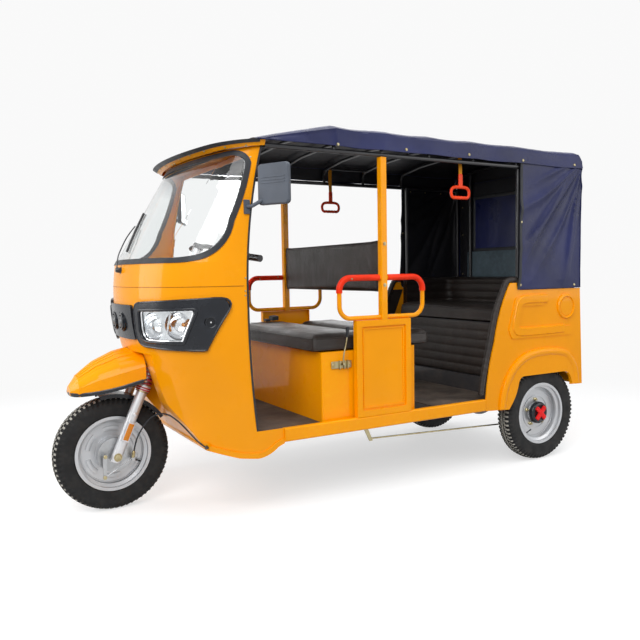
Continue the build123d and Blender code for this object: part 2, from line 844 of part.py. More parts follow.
def side_outline():
    """Draw the rear side panel: slanted door edge, wheel arch and upright rear end."""
    with BuildSketch(Plane.XZ.offset(-body_half_width)) as outline:
        with BuildLine():
            Line((-906, 1012), (-855, 1012))
            ThreePointArc((-855, 1012), (-786, 867), (-742, 700))
            ThreePointArc((-742, 700), (-702, 550), (door_edge_x - 2, sill_top))
            Line((door_edge_x - 2, sill_top), (door_edge_x - 2, sill_bottom))
            Line((door_edge_x - 2, sill_bottom), (-839, 321))
            ThreePointArc((-839, 321), (-880, 375), (-914, 464))
            ThreePointArc((-914, 464), (-930, 487), (-952, arch_top))
            Line((-952, arch_top), (-1286, arch_top))
            ThreePointArc((-1286, arch_top), (-1318, 474), (-1336, 414))
            Line((-1336, 414), (body_rear_foot_x, body_bottom))
            Line((body_rear_foot_x, body_bottom), (body_rear_x, body_top))
            Line((body_rear_x, body_top), (-930, body_top))
            ThreePointArc((-930, body_top), (-912, 982), (-906, 1012))
        make_face()
    return outline.sketch


def arch_flare():
    """Draw the raised band round the wheel arch."""
    with BuildSketch(Plane.XZ.offset(-body_half_width)) as outline:
        with BuildLine():
            Line((-839, 323), (-775, 326))
            ThreePointArc((-775, 326), (-842, 530), (-967, 623))
            ThreePointArc((-967, 623), (-1128, 641), (-1289, 622))
            ThreePointArc((-1289, 622), (-1370, 545), (-1402, 416))
            Line((-1402, 416), (-1338, 416))
            ThreePointArc((-1338, 416), (-1318, 474), (-1286, arch_top + 1))
            Line((-1286, arch_top + 1), (-952, arch_top + 1))
            ThreePointArc((-952, arch_top + 1), (-930, 488), (-914, 465))
            ThreePointArc((-914, 465), (-879, 376), (-839, 323))
        make_face()
    return outline.sketch


def bar_emboss():
    """Draw the raised bar on the side, bent like a square bracket."""
    with BuildSketch(Plane.XZ.offset(-body_half_width)) as outline:
        with BuildLine():
            FilletPolyline(
                (-842, 758), (-893, 933), (-1107, 933), (-1107, 883), (-930, 883), (-906, 760), (-1343, 758),
                (-1343, 706), (-864, 706), radius=(14, 20, 10, 10, 12, 12, 12, 12, 24), close=True,
            )
        make_face()
    return outline.sketch


with BuildPart() as body_sides:
    extrude(side_outline(), amount=body_skin)
    extrude(arch_flare(), amount=-flare_height)
    extrude(bar_emboss(), amount=-emboss_height)
    with BuildSketch(Plane.XZ.offset(-body_half_width)):
        with Locations((-1290, 876)):
            Circle(68)
    extrude(amount=-emboss_height)
    mirror(about=Plane.XZ)
finish(body_sides, "body_sides")

edge_pad_y = body_half_width - edge_pad_radius
with BuildPart() as door_edge_pads:
    with BuildLine(Plane.XZ.offset(-edge_pad_y)) as pad:
        shift = edge_pad_radius + seat_gap
        ThreePointArc((-851 + shift, 1005), (-783.5 + shift, 867), (-741 + shift, 700))
        ThreePointArc((-741 + shift, 700), (-701 + shift, 550), (door_edge_x + shift, sill_top + 22))
    with BuildSketch(pad.line ^ 0):
        Circle(edge_pad_radius)
    sweep(path=pad.line)
    mirror(about=Plane.XZ)
finish(door_edge_pads, "door_edge_pads")


def rear_slant(drop_front, thickness):
    """Draw the side outline of an upright sheet that follows the slanted rear end."""
    top_x = body_rear_x + drop_front
    foot_x = body_rear_foot_x + drop_front
    with BuildSketch(Plane.XZ) as outline:
        with BuildLine():
            Polyline(
                (foot_x, body_bottom), (foot_x + thickness, body_bottom), (top_x + thickness, body_top),
                (top_x, body_top), close=True,
            )
        make_face()
    return outline.sketch


side_inner_y = body_half_width - body_skin
panel_set_in = 14
with BuildPart() as rear_panel:
    extrude(rear_slant(panel_set_in, body_skin), amount=side_inner_y - seat_gap, both=True)
finish(rear_panel, "rear_panel")

with BuildPart() as panel_zone:
    extrude(rear_slant(panel_set_in - seat_gap, 200), amount=600, both=True)
with BuildPart() as lamp_zone:
    extrude(rear_slant(1, 60), amount=600, both=True)
with BuildPart() as tail_lamps:
    with BuildSketch(Plane.YZ.offset(body_rear_foot_x)):
        with Locations((-440, 690), (440, 690)):
            RectangleRounded(70, 150, 12)
    extrude(amount=60)
    add(panel_zone.part, mode=Mode.SUBTRACT)
    add(lamp_zone.part, mode=Mode.INTERSECT)
    fillet(tail_lamps.faces().sort_by(Axis.X)[0].edges(), 3)
finish(tail_lamps, "tail_lamps")

deck_rear_x = body_rear_x + panel_set_in + body_skin + seat_gap
well_top = arch_top + 65
with BuildPart() as rear_seat_base:
    with Locations((riser_x, 0, well_top)):
        Box(
            riser_x - deck_rear_x, 2 * (side_inner_y - seat_gap), rear_deck_top - well_top,
            align=(Align.MAX, Align.CENTER, Align.MIN),
        )
    with Locations((riser_x, 0, floor_top)):
        Box(
            riser_x - deck_rear_x, 2 * well_half_width, well_top - floor_top,
            align=(Align.MAX, Align.CENTER, Align.MIN),
        )
        Box(
            riser_depth, 2 * (sill_inner_y - seat_gap), well_top - floor_top,
            align=(Align.MAX, Align.CENTER, Align.MIN),
        )
        Box(
            riser_step, 2 * (sill_inner_y - seat_gap), riser_step_top - floor_top,
            align=(Align.MIN, Align.CENTER, Align.MIN),
        )
    offset(amount=-seat_sheet, openings=rear_seat_base.faces().sort_by(Axis.Z)[0])
finish(rear_seat_base, "rear_seat_base")

rear_cushion = seat_cushion(rear_seat_front_x, rear_seat_rear_x, 470, rear_deck_top, rear_seat_top)
finish(rear_cushion, "rear_cushion")

with BuildPart() as rear_backrest:
    with BuildSketch(Plane.XY.offset(rear_deck_top + seat_gap)):
        with BuildLine():
            wrap_y = side_inner_y - 3
            FilletPolyline(
                (-920, wrap_y), (deck_rear_x, wrap_y), (deck_rear_x, -wrap_y), (-920, -wrap_y),
                (-920, -wrap_y + 42), (rear_seat_rear_x - 6, -wrap_y + 42),
                (rear_seat_rear_x - 6, wrap_y - 42), (-920, wrap_y - 42), radius=3, close=True,
            )
        make_face()
    extrude(amount=rear_backrest_top - rear_deck_top)
finish(rear_backrest, "rear_backrest")

# ---------------------------------------------------------------- roof
bow_foot_y = pillar_y
rail_length = visor_rear_x - seat_gap - (canopy_rear_x + 20)
post_foot = rear_backrest_top + seat_gap
with BuildPart() as roof_frame:
    for side in (-1, 1):
        with Locations((visor_rear_x - seat_gap - rail_length / 2, side * pillar_y, rail_height)):
            Cylinder(roof_tube, rail_length, rotation=(0, 90, 0))
    for x in (peak_x, pillar_x, -310, -600, -906, canopy_rear_x + 32):
        with BuildLine(Plane.YZ.offset(x)) as bow:
            FilletPolyline(
                (-bow_foot_y, rail_height), (-bow_foot_y, rail_height + 80), (-300, rail_height + 110),
                (0, rail_height + bow_rise), (300, rail_height + 110), (bow_foot_y, rail_height + 80),
                (bow_foot_y, rail_height), radius=(40, 300, 300, 300, 40),
            )
        with BuildSketch(bow.line ^ 0):
            Circle(bow_tube)
        sweep(path=bow.line)
    for side in (-1, 1):
        with Locations((-455, side * handle_y, handle_rail_height)):
            Cylinder(handle_rail_radius, 290 + 2 * bow_tube, rotation=(0, 90, 0))
    with Locations([(x, y, post_foot) for x in (-940, -1385) for y in (14 - pillar_y, pillar_y - 14)]):
        Cylinder(roof_tube, rail_height - post_foot, align=(Align.CENTER, Align.CENTER, Align.MIN))
    with Locations((-1380, -360, post_foot), (-1380, 360, post_foot)):
        Cylinder(roof_tube, rail_height + 100 - post_foot, align=(Align.CENTER, Align.CENTER, Align.MIN))
finish(roof_frame, "roof_frame")


RoofRow = namedtuple("RoofRow", "x bottom shoulder crown")
roof_rows = (
    RoofRow(canopy_front_x, valance_bottom + 1, valance_bottom + 7, valance_bottom + 17),
    RoofRow(peak_x, valance_bottom, shoulder_height, crown_height),
    RoofRow(canopy_rear_x, valance_bottom - 6, shoulder_height - 8, crown_height - 10),
)


def roof_form(inset):
    """Loft the cloth roof's sections, each with upright valances and a low crown."""
    with BuildPart() as form:
        for row in roof_rows:
            half = valance_half_width - inset
            shoulder = row.shoulder - inset
            with BuildSketch(Plane.YZ.offset(row.x)):
                with BuildLine():
                    Line((-half, row.bottom), (half, row.bottom))
                    Line((half, row.bottom), (half - 8, shoulder))
                    ThreePointArc((half - 8, shoulder), (0, row.crown - inset), (8 - half, shoulder))
                    Line((8 - half, shoulder), (-half, row.bottom))
                make_face()
        loft(ruled=True)
    return form.part


with BuildPart() as canopy:
    add(roof_form(0))
    add(roof_form(canopy_cloth), mode=Mode.SUBTRACT)
finish(canopy, "canopy")

curtain_top = valance_bottom + 16
with BuildPart() as side_curtains:
    for side in (-1, 1):
        with BuildSketch(Plane.XZ.offset(-side * (body_half_width + seat_gap + curtain_thickness / 2))):
            with BuildLine():
                Polyline(
                    (curtain_front_x, curtain_top), (curtain_front_x + 24, body_top + 2),
                    (body_rear_x + 4, body_top + 2), (body_rear_x + 2, curtain_top), close=True,
                )
            make_face()
        extrude(amount=curtain_thickness / 2, both=True)
finish(side_curtains, "side_curtains")

with BuildPart() as rear_curtain:
    with BuildSketch(Plane.YZ.offset(body_rear_x + 8)):
        with Locations((0, (body_top + seat_gap + curtain_top) / 2)):
            Rectangle(2 * (body_half_width - 2), curtain_top - body_top - seat_gap)
    extrude(amount=-curtain_thickness)
finish(rear_curtain, "rear_curtain")

# grab handles: a webbing strap that carries a ring, one on each side of the aisle
handle_spots = ((-554, handle_y), (-327, -handle_y))
ring_height = 1492
ring_radius = 8
ring_top = ring_height + 26
with BuildPart() as grab_handles:
    for x, y in handle_spots:
        strap_foot = ring_top + ring_radius / 2
        with Locations((x, y, strap_foot)):
            Box(
                22, 4, handle_rail_height - handle_rail_radius - seat_gap - strap_foot,
                align=(Align.CENTER, Align.CENTER, Align.MIN),
            )
        with BuildLine(Plane.XZ.offset(-y)) as ring:
            FilletPolyline(
                (x - 62, ring_height - 24), (x - 40, ring_top), (x + 40, ring_top),
                (x + 62, ring_height - 24), radius=(18, 20, 20, 18), close=True,
            )
        with BuildSketch(ring.line ^ 0):
            Circle(ring_radius)
        sweep(path=ring.line)
finish(grab_handles, "grab_handles")

# ---------------------------------------------------------------- cab inside
with BuildPart() as steering_tower:
    with BuildSketch(steering_plane.offset(tower_bottom)):
        with Locations((-steering_offset, 0)):
            Circle(tower_radius + tower_wall)
    extrude(amount=tower_height)
    with BuildSketch(steering_plane.offset(tower_bottom - 50)):
        with Locations((-steering_offset, 0)):
            Circle(tower_radius)
    extrude(amount=tower_height + 50 - tower_wall, mode=Mode.SUBTRACT)
    with BuildSketch(steering_plane.offset(tower_bottom + tower_height - tower_wall)):
        with Locations((-steering_offset, 0)):
            Circle(stem_radius + 14)
    extrude(amount=60)
    with BuildSketch(steering_plane.offset(tower_bottom)):
        with Locations((-steering_offset, 0)):
            Circle(stem_radius + joint_gap)
    extrude(amount=tower_height + 100, mode=Mode.SUBTRACT)
    add(cab_form(0), mode=Mode.INTERSECT)
finish(steering_tower, "steering_tower")

with BuildPart() as dashboard:
    add(cab_form(cab_wall + seat_gap))
    with BuildSketch(Plane.XZ):
        with BuildLine():
            Polyline(
                (930, 1010), (900, 1080), (1000, 1118), (1200, 1118), (1200, 1112), (1002, 1112),
                (908, 1077), (938, 1010), close=True,
            )
        make_face()
    extrude(amount=700, both=True, mode=Mode.INTERSECT)
finish(dashboard, "dashboard")

# ---------------------------------------------------------------- rear axle
with BuildPart() as rear_axle:
    with Locations((rear_axle_x, 0, wheel_radius)):
        Cylinder(axle_tube, 2 * (drum_y - 10), rotation=(90, 0, 0))
        Sphere(92)
        Cylinder(52, motor_face, rotation=(0, 90, 0), align=(Align.CENTER, Align.CENTER, Align.MIN))
    for side in (-1, 1):
        with Locations((rear_axle_x, side * (drum_y - 5), wheel_radius)):
            Cylinder(drum_radius, 10, rotation=(90, 0, 0))
        with Locations((rear_axle_x, side * rail_y, wheel_radius + axle_tube - axle_pad)):
            Box(90, 50, 2 * axle_pad, align=(Align.CENTER, Align.CENTER, Align.MIN))
    with Locations((rear_axle_x, brake_rod_rear_y, wheel_radius - 20)):
        Box(14, 6, brake_arm_drop - 20, align=(Align.CENTER, Align.CENTER, Align.MAX))
finish(rear_axle, "rear_axle")

with BuildPart() as drive_motor:
    with Locations((rear_axle_x + motor_face + seat_gap, 0, wheel_radius)):
        Cylinder(
            motor_radius, motor_length, rotation=(0, 90, 0), align=(Align.CENTER, Align.CENTER, Align.MIN)
        )
finish(drive_motor, "drive_motor")

# stacked leaves, bent about one centre, the longest on top
leaf_bend = (spring_half_length**2 + spring_rise**2) / (2 * spring_rise)
with BuildPart() as leaf_springs:
    for side in (-1, 1):
        with BuildSketch(Plane.XZ.offset(-side * rail_y)):
            for leaf in range(leaf_count):
                half = spring_half_length * (leaf + 2) / (leaf_count + 1)
                low = leaf_bend - leaf * leaf_thickness
                high = low - leaf_thickness
                turn = asin(half / leaf_bend)
                centre_z = axle_seat_height + seat_gap + leaf_bend
                with BuildLine():
                    ThreePointArc(
                        (rear_axle_x - low * sin(turn), centre_z - low * cos(turn)),
                        (rear_axle_x, centre_z - low),
                        (rear_axle_x + low * sin(turn), centre_z - low * cos(turn)),
                    )
                    Line(
                        (rear_axle_x + low * sin(turn), centre_z - low * cos(turn)),
                        (rear_axle_x + high * sin(turn), centre_z - high * cos(turn)),
                    )
                    ThreePointArc(
                        (rear_axle_x + high * sin(turn), centre_z - high * cos(turn)),
                        (rear_axle_x, centre_z - high),
                        (rear_axle_x - high * sin(turn), centre_z - high * cos(turn)),
                    )
                    Line(
                        (rear_axle_x - high * sin(turn), centre_z - high * cos(turn)),
                        (rear_axle_x - low * sin(turn), centre_z - low * cos(turn)),
                    )
                make_face()
        extrude(amount=22, both=True)
finish(leaf_springs, "leaf_springs")

# the parking brake's cross lever under the floor, and the thin rod back to the axle
with BuildPart() as brake_linkage:
    with BuildSketch(Plane.XZ.offset(-brake_rod_front[1] - 3)):
        with BuildLine():
            lever_top = rail_bottom + 8 - seat_gap
            lever_foot = brake_rod_front[2] - 12
            FilletPolyline((68, lever_top), (44, lever_top), (2, lever_foot), (22, lever_foot), radius=3, close=True)
        make_face()
    extrude(amount=6)
    with BuildLine() as rod:
        Line(brake_rod_front, (rear_axle_x, brake_rod_rear_y, wheel_radius - brake_arm_drop))
    with BuildSketch(rod.line ^ 0):
        Circle(brake_rod_radius)
    sweep(path=rod.line)
    add(rear_axle.part, mode=Mode.SUBTRACT)
finish(brake_linkage, "brake_linkage")

# ---------------------------------------------------------------- steering fork
spring_foot = slider_length + collar_length
crown_foot = spring_foot + spring_length
with BuildPart() as fork:
    for side in (-1, 1):
        with BuildSketch(steering_plane.offset(-26)):
            with Locations((0, side * leg_spread)):
                Circle(leg_radius)
        extrude(amount=26 + slider_length)
        with BuildSketch(steering_plane.offset(slider_length - 8)):
            with Locations((0, side * leg_spread)):
                Circle(leg_radius + 5)
        extrude(amount=8)
        with BuildSketch(steering_plane.offset(slider_length)):
            with Locations((0, side * leg_spread)):
                Circle(spring_radius + 2)
        extrude(amount=collar_length)
        with BuildSketch(steering_plane.offset(slider_length)):
            with Locations((0, side * leg_spread)):
                Circle(damper_radius)
        extrude(amount=crown_foot - slider_length)
        with BuildSketch(steering_plane.offset(reflector_height - reflector_length / 2)):
            with Locations((0, side * (leg_spread + leg_radius))):
                Rectangle(32, 20)
        extrude(amount=reflector_length)
        with BuildSketch(steering_plane.offset(crown_foot)):
            with Locations((0, side * leg_spread)):
                Circle(spring_radius)
        extrude(amount=crown_thickness)
    with BuildSketch(steering_plane.offset(crown_foot)):
        with BuildLine():
            FilletPolyline(
                (20, leg_spread), (20, -leg_spread), (-30, -leg_spread), (-steering_offset - 40, -34),
                (-steering_offset - 40, 34), (-30, leg_spread), radius=6, close=True,
            )
        make_face()
    extrude(amount=crown_thickness)
    with BuildSketch(steering_plane.offset(crown_foot)):
        with Locations((-steering_offset, 0)):
            Circle(stem_radius)
    extrude(amount=bar_height - crown_foot)
    with Locations((front_axle_x, 0, wheel_radius)):
        Cylinder(axle_radius, 2 * axle_half_length, rotation=(90, 0, 0))
finish(fork, "fork")

# coil springs that stand on the collars and hold up the crown
coil_radius = spring_radius - spring_wire / 2
coil_height = spring_length - spring_wire - 2 * seat_gap
with BuildPart() as coil_spring:
    with BuildLine() as coil:
        Helix(coil_height / spring_turns, coil_height, coil_radius)
    with BuildSketch(coil.line ^ 0):
        Circle(spring_wire / 2)
    sweep(path=coil.line, is_frenet=True)
with BuildPart() as fork_springs:
    for side in (-1, 1):
        foot = steering_plane.offset(spring_foot + seat_gap + spring_wire / 2) * Pos(0, side * leg_spread, 0)
        add(foot * coil_spring.part)
finish(fork_springs, "fork_springs")

guard_sweep = guard_rear_angle - guard_front_angle
guard_start = radians(guard_front_angle)
guard_plane = Plane(
    origin=(front_axle_x, 0, wheel_radius),
    x_dir=(cos(guard_start), 0, sin(guard_start)),
    z_dir=(-sin(guard_start), 0, cos(guard_start)),
)
guard_top = guard_radius + guard_thickness
with BuildPart() as inner_guard:
    with BuildSketch(guard_plane):
        with Locations((guard_top, 0)):
            Rectangle(18, 2 * guard_half_width, align=(Align.MAX, Align.CENTER))
            Rectangle(
                18, 2 * (guard_half_width - guard_thickness),
                align=(Align.MAX, Align.CENTER), mode=Mode.SUBTRACT,
            )
            Rectangle(guard_thickness, 2 * guard_half_width, align=(Align.MAX, Align.CENTER))
    revolve(axis=Axis((front_axle_x, 0, wheel_radius), (0, -1, 0)), revolution_arc=guard_sweep)
    lug_reach = leg_spread - leg_radius - seat_gap - guard_half_width + guard_thickness
    for side in (-1, 1):
        with BuildSketch(steering_plane.offset(guard_top - 10)):
            with Locations((0, side * (guard_half_width - guard_thickness + lug_reach / 2))):
                Rectangle(24, lug_reach)
        extrude(amount=8)
finish(inner_guard, "inner_guard")

with BuildPart() as handlebar:
    bar_plane = steering_plane.offset(bar_height + bar_radius + 1)
    bar_sweep = -steering_offset - 165
    bar_bend = -steering_offset - 120
    with BuildLine(bar_plane) as bar:
        FilletPolyline(
            (bar_sweep, 392), (bar_bend, 250), (-steering_offset, 120), (-steering_offset, -120),
            (bar_bend, -250), (bar_sweep, -392), radius=60,
        )
    with BuildSketch(bar.line ^ 0):
        Circle(bar_radius)
    sweep(path=bar.line)
    for side in (-1, 1):
        grip_share = grip_length / sqrt((bar_sweep - bar_bend) ** 2 + (392 - 250) ** 2)
        inner = (bar_sweep + (bar_bend - bar_sweep) * grip_share, side * (392 - 142 * grip_share))
        with BuildLine(bar_plane) as grip:
            Line((bar_sweep, side * 392), inner)
        with BuildSketch(grip.line ^ 0):
            Circle(grip_radius)
        sweep(path=grip.line)
        with BuildLine(bar_plane) as lever:
            FilletPolyline(
                (bar_bend + 8, side * 240), (bar_bend + 44, side * 256), (bar_sweep + 50, side * 372), radius=14
            )
        with BuildSketch(lever.line ^ 0):
            Circle(5)
        sweep(path=lever.line)
    with BuildSketch(steering_plane.offset(bar_height + seat_gap)):
        with Locations((-steering_offset, 0)):
            Circle(26)
    extrude(amount=26)
finish(handlebar, "handlebar")

# brake plate inside the front wheel's near side, with its cam arm, pull rod and cable stop
stop_x, stop_y, stop_height = cable_route[0]
with BuildPart() as front_brake_plate:
    with Locations((front_axle_x, plate_y, wheel_radius)):
        Cylinder(plate_radius, 8, rotation=(90, 0, 0))
        Cylinder(axle_radius + joint_gap, 20, rotation=(90, 0, 0), mode=Mode.SUBTRACT)
    with BuildSketch(Plane.XZ.offset(-plate_y)):
        with Locations(arm_top):
            Circle(8)
    extrude(amount=plate_y - arm_y - 4)
    with BuildSketch(Plane.XZ.offset(-arm_y)):
        with BuildLine():
            Polyline(
                (arm_top[0] - 10, arm_top[1] + 8), (arm_top[0] + 10, arm_top[1] + 8),
                (arm_foot[0] + 7, arm_foot[1] - 8), (arm_foot[0] - 7, arm_foot[1] - 8), close=True,
            )
        make_face()
    extrude(amount=5)
    with BuildLine() as pull_rod:
        Line((arm_foot[0], arm_y - 3, arm_foot[1]), (stop_x, arm_y - 3, stop_height - 4))
    with BuildSketch(pull_rod.line ^ 0):
        Circle(2.5)
    sweep(path=pull_rod.line)
    with Locations((stop_x, plate_y, stop_height - 3 * seat_gap)):
        Box(14, stop_y - plate_y + 7, 14, align=(Align.CENTER, Align.MIN, Align.MAX))
finish(front_brake_plate, "front_brake_plate")


def cord_bends(points):
    """The bend radius at each inner point of a cord's route, as large as its two runs allow."""
    bends = []
    for before, here, after in zip(points, points[1:], points[2:]):
        run_in = Vector(*here) - Vector(*before)
        run_out = Vector(*after) - Vector(*here)
        half_turn = radians(run_in.get_angle(run_out)) / 2
        bends.append(0.45 * min(run_in.length, run_out.length) * cos(half_turn) / sin(half_turn))
    return bends


# the front brake's cable, from the stop on the brake plate over a free arch to the cab's underside
with BuildPart() as brake_cable:
    with BuildLine() as route:
        FilletPolyline(*cable_route, radius=cord_bends(cable_route))
    with BuildSketch(route.line ^ 0):
        Circle(cable_radius)
    sweep(path=route.line)
finish(brake_cable, "brake_cable")

# ---------------------------------------------------------------- wheels


def tyre_at(x, y):
    """Revolve one tyre about its own axle, out to the tips of its tread."""
    bead_half = rim_half_width - rim_wall - seat_gap
    with BuildPart() as tyre:
        with BuildSketch(Plane((x, y, wheel_radius))):
            with BuildLine():
                Line((bead_radius, -bead_half), (bead_radius, bead_half))
                Line((bead_radius, bead_half), (rim_radius + 1, bead_half))
                Line((rim_radius + 1, bead_half), (rim_radius + 4, rim_half_width + 1))
                ThreePointArc(
                    (rim_radius + 4, rim_half_width + 1), (rim_radius + 36, tyre_half_width),
                    (wheel_radius - 16, tyre_half_width - 5),
                )
                Line((wheel_radius - 16, tyre_half_width - 5), (wheel_radius - 5, tyre_half_width - 12))
                ThreePointArc(
                    (wheel_radius - 5, tyre_half_width - 12), (wheel_radius, 0),
                    (wheel_radius - 5, 12 - tyre_half_width),
                )
                Line((wheel_radius - 5, 12 - tyre_half_width), (wheel_radius - 16, 5 - tyre_half_width))
                ThreePointArc(
                    (wheel_radius - 16, 5 - tyre_half_width), (rim_radius + 36, -tyre_half_width),
                    (rim_radius + 4, -rim_half_width - 1),
                )
                Line((rim_radius + 4, -rim_half_width - 1), (rim_radius + 1, -bead_half))
                Line((rim_radius + 1, -bead_half), (bead_radius, -bead_half))
            make_face()
        revolve(axis=Axis((x, y, wheel_radius), (0, 1, 0)))
    return tyre


def rim_at(x, y, disc_offset, hub_inner, hub_outer, hub_radius, bore_radius):
    """Revolve one rim with its well, disc and hub."""
    seat = bead_radius - seat_gap
    flange = rim_half_width
    with BuildPart() as rim:
        with BuildSketch(Plane((x, y, wheel_radius))):
            with BuildLine():
                Polyline(
                    (rim_radius, flange), (rim_radius, flange - 3), (seat, flange - rim_wall),
                    (seat, 24), (well_radius, 18), (well_radius, -18), (seat, -24),
                    (seat, rim_wall - flange), (rim_radius, 3 - flange), (rim_radius, -flange),
                    (seat - 6, -flange), (seat - 6, -26), (well_radius - 5, -20),
                    (well_radius - 5, disc_offset - 3), (hub_radius, disc_offset - 3),
                    (hub_radius, hub_inner), (bore_radius, hub_inner), (bore_radius, hub_outer),
                    (hub_radius, hub_outer), (hub_radius, disc_offset + 3),
                    (well_radius - 5, disc_offset + 3), (well_radius - 5, 20), (seat - 6, 26),
                    (seat - 6, flange), close=True,
                )
            make_face()
        revolve(axis=Axis((x, y, wheel_radius), (0, 1, 0)))
    return rim


finish(tyre_at(front_axle_x, 0), "front_tyre")
front_hub_outer = plate_y - plate_thickness / 2 - 2
finish(rim_at(front_axle_x, 0, 0, -70, front_hub_outer, 76, axle_radius + joint_gap), "front_rim")
for side, name in ((1, "left"), (-1, "right")):
    finish(tyre_at(rear_axle_x, side * track_half), f"rear_tyre_{name}")
    hub_ends = sorted((side * (drum_y + seat_gap - track_half), side * 10))
    finish(rim_at(rear_axle_x, side * track_half, side * -6, *hub_ends, 56, joint_gap), f"rear_rim_{name}")
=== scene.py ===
import json
import math
import bpy
import bmesh
from mathutils import Matrix, Vector, noise
from mathutils.bvhtree import BVHTree


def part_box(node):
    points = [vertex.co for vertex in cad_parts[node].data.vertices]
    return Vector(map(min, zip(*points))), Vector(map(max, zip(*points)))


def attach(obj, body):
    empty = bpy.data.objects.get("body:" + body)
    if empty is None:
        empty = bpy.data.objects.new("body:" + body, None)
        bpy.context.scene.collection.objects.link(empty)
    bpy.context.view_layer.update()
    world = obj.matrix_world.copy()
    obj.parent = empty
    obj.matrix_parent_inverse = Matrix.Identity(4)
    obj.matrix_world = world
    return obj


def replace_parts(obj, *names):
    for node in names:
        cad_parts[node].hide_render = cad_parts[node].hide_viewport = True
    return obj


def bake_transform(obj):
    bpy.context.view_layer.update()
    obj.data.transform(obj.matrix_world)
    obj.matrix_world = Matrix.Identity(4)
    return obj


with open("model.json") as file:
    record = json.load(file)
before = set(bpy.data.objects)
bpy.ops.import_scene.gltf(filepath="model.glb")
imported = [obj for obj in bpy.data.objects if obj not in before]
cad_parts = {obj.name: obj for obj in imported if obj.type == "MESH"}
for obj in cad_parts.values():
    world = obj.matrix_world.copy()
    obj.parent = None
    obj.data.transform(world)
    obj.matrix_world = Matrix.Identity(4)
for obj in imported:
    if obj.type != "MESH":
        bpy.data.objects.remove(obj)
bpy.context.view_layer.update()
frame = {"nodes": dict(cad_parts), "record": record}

cad = frame["nodes"]
scene = bpy.context.scene

AHEAD, LEFT, UP = Vector((1, 0, 0)), Vector((0, 1, 0)), Vector((0, 0, 1))
SIDES = (("left", 1), ("right", -1))
LENS_MM, SENSOR_MM, PHOTO_PIXELS = 38.62, 36, 640


def link(name, data):
    """Make an object from a mesh, camera or lamp and put it in the scene."""
    piece = bpy.data.objects.new(name, data)
    scene.collection.objects.link(piece)
    return piece


# ------------------------------------------------------------------ material tools
def add_node(tree, kind, values=(), **settings):
    """Add a shader node, whose sockets take links or numbers."""
    node = tree.nodes.new("ShaderNode" + kind)
    for key, value in settings.items():
        setattr(node, key, value)
    for socket, value in values:
        if isinstance(value, bpy.types.NodeSocket):
            tree.links.new(value, node.inputs[socket])
        else:
            node.inputs[socket].default_value = value
    return node


def sees_background(tree):
    """A value that is 1 for the rays that should see a near-white background."""
    path = add_node(tree, "LightPath").outputs
    total = path["Is Camera Ray"]
    for kind in ("Is Glossy Ray", "Is Transmission Ray"):
        total = add_node(tree, "Math", ((0, total), (1, path[kind])), operation="MAXIMUM").outputs[0]
    return total


looks = {}


class Look:
    """A node material built up on a Principled shader, in the frame's metres, and kept in looks by name."""

    def __init__(self, name, **sockets):
        self.material = bpy.data.materials.new(name)
        self.material.use_nodes = True
        self.tree = self.material.node_tree
        self.shader = self.tree.nodes["Principled BSDF"]
        for socket, value in sockets.items():
            self.shader.inputs[socket.replace("_", " ")].default_value = value
        self.place = self.node("TexCoord").outputs["Object"]
        self.bumps = None
        looks[name] = self

    def node(self, kind, values=(), **settings):
        return add_node(self.tree, kind, values, **settings)

    def stretch(self, scale, turn=(0, 0, 0)):
        """The frame's coordinates, turned and scaled."""
        return self.node("Mapping", (("Vector", self.place), ("Scale", scale), ("Rotation", turn))).outputs[0]

    def above_ground(self):
        """The height in the frame."""
        return self.node("SeparateXYZ", (("Vector", self.place),)).outputs["Z"]

    def grain(self, scale, detail=3, place=None):
        """Soft noise."""
        values = ("Vector", place or self.place), ("Scale", scale), ("Detail", detail)
        return self.node("TexNoise", values).outputs["Fac"]

    def cells(self, scale):
        """The distance to the edges of small cells."""
        values = ("Vector", self.place), ("Scale", scale)
        return self.node("TexVoronoi", values, feature="DISTANCE_TO_EDGE").outputs["Distance"]

    def waves(self, scale, direction):
        """Parallel waves."""
        values = ("Vector", self.place), ("Scale", scale)
        return self.node("TexWave", values, bands_direction=direction).outputs["Fac"]

    def ramp(self, value, low, high, out_low=0.0, out_high=1.0):
        """Map a span of a value to another span, clamped."""
        return self.node("MapRange", enumerate((value, low, high, out_low, out_high))).outputs[0]

    def times(self, a, b):
        """The product of two values."""
        return self.node("Math", ((0, a), (1, b)), operation="MULTIPLY").outputs[0]

    def blend(self, share, a, b):
        """One colour fading to another."""
        return self.node("Mix", ((0, share), (6, a), (7, b)), data_type="RGBA").outputs[2]

    def edges(self):
        """High along convex edges."""
        return self.ramp(self.node("NewGeometry").outputs["Pointiness"], 0.52, 0.6)

    def drive(self, socket, value):
        """Link a value to one of the shader's sockets."""
        self.tree.links.new(value, self.shader.inputs[socket])

    def paint(self, share, a, b):
        """Colour the surface with one colour fading to another."""
        self.drive("Base Color", self.blend(share, a, b))

    def roughen(self, scale, detail, smoothest, roughest, low=0.3, high=0.7):
        """Vary the roughness by soft noise, of which low to high is used."""
        self.drive("Roughness", self.ramp(self.grain(scale, detail), low, high, smoothest, roughest))

    def raise_by(self, value, strength, distance):
        """Add one layer of relief."""
        bump = self.node("Bump", (("Height", value), ("Strength", strength), ("Distance", distance)))
        if self.bumps:
            self.tree.links.new(self.bumps, bump.inputs["Normal"])
        self.bumps = bump.outputs[0]
        self.drive("Normal", self.bumps)


def srgb(red, green, blue):
    """A screen colour as linear light."""
    linear = [c / 255 / 12.92 if c <= 10 else ((c / 255 + 0.055) / 1.055) ** 2.4 for c in (red, green, blue)]
    return (*linear, 1)


def shade(colour, factor):
    """A colour made lighter or darker."""
    return (*[min(1, c * factor) for c in colour[:3]], 1)


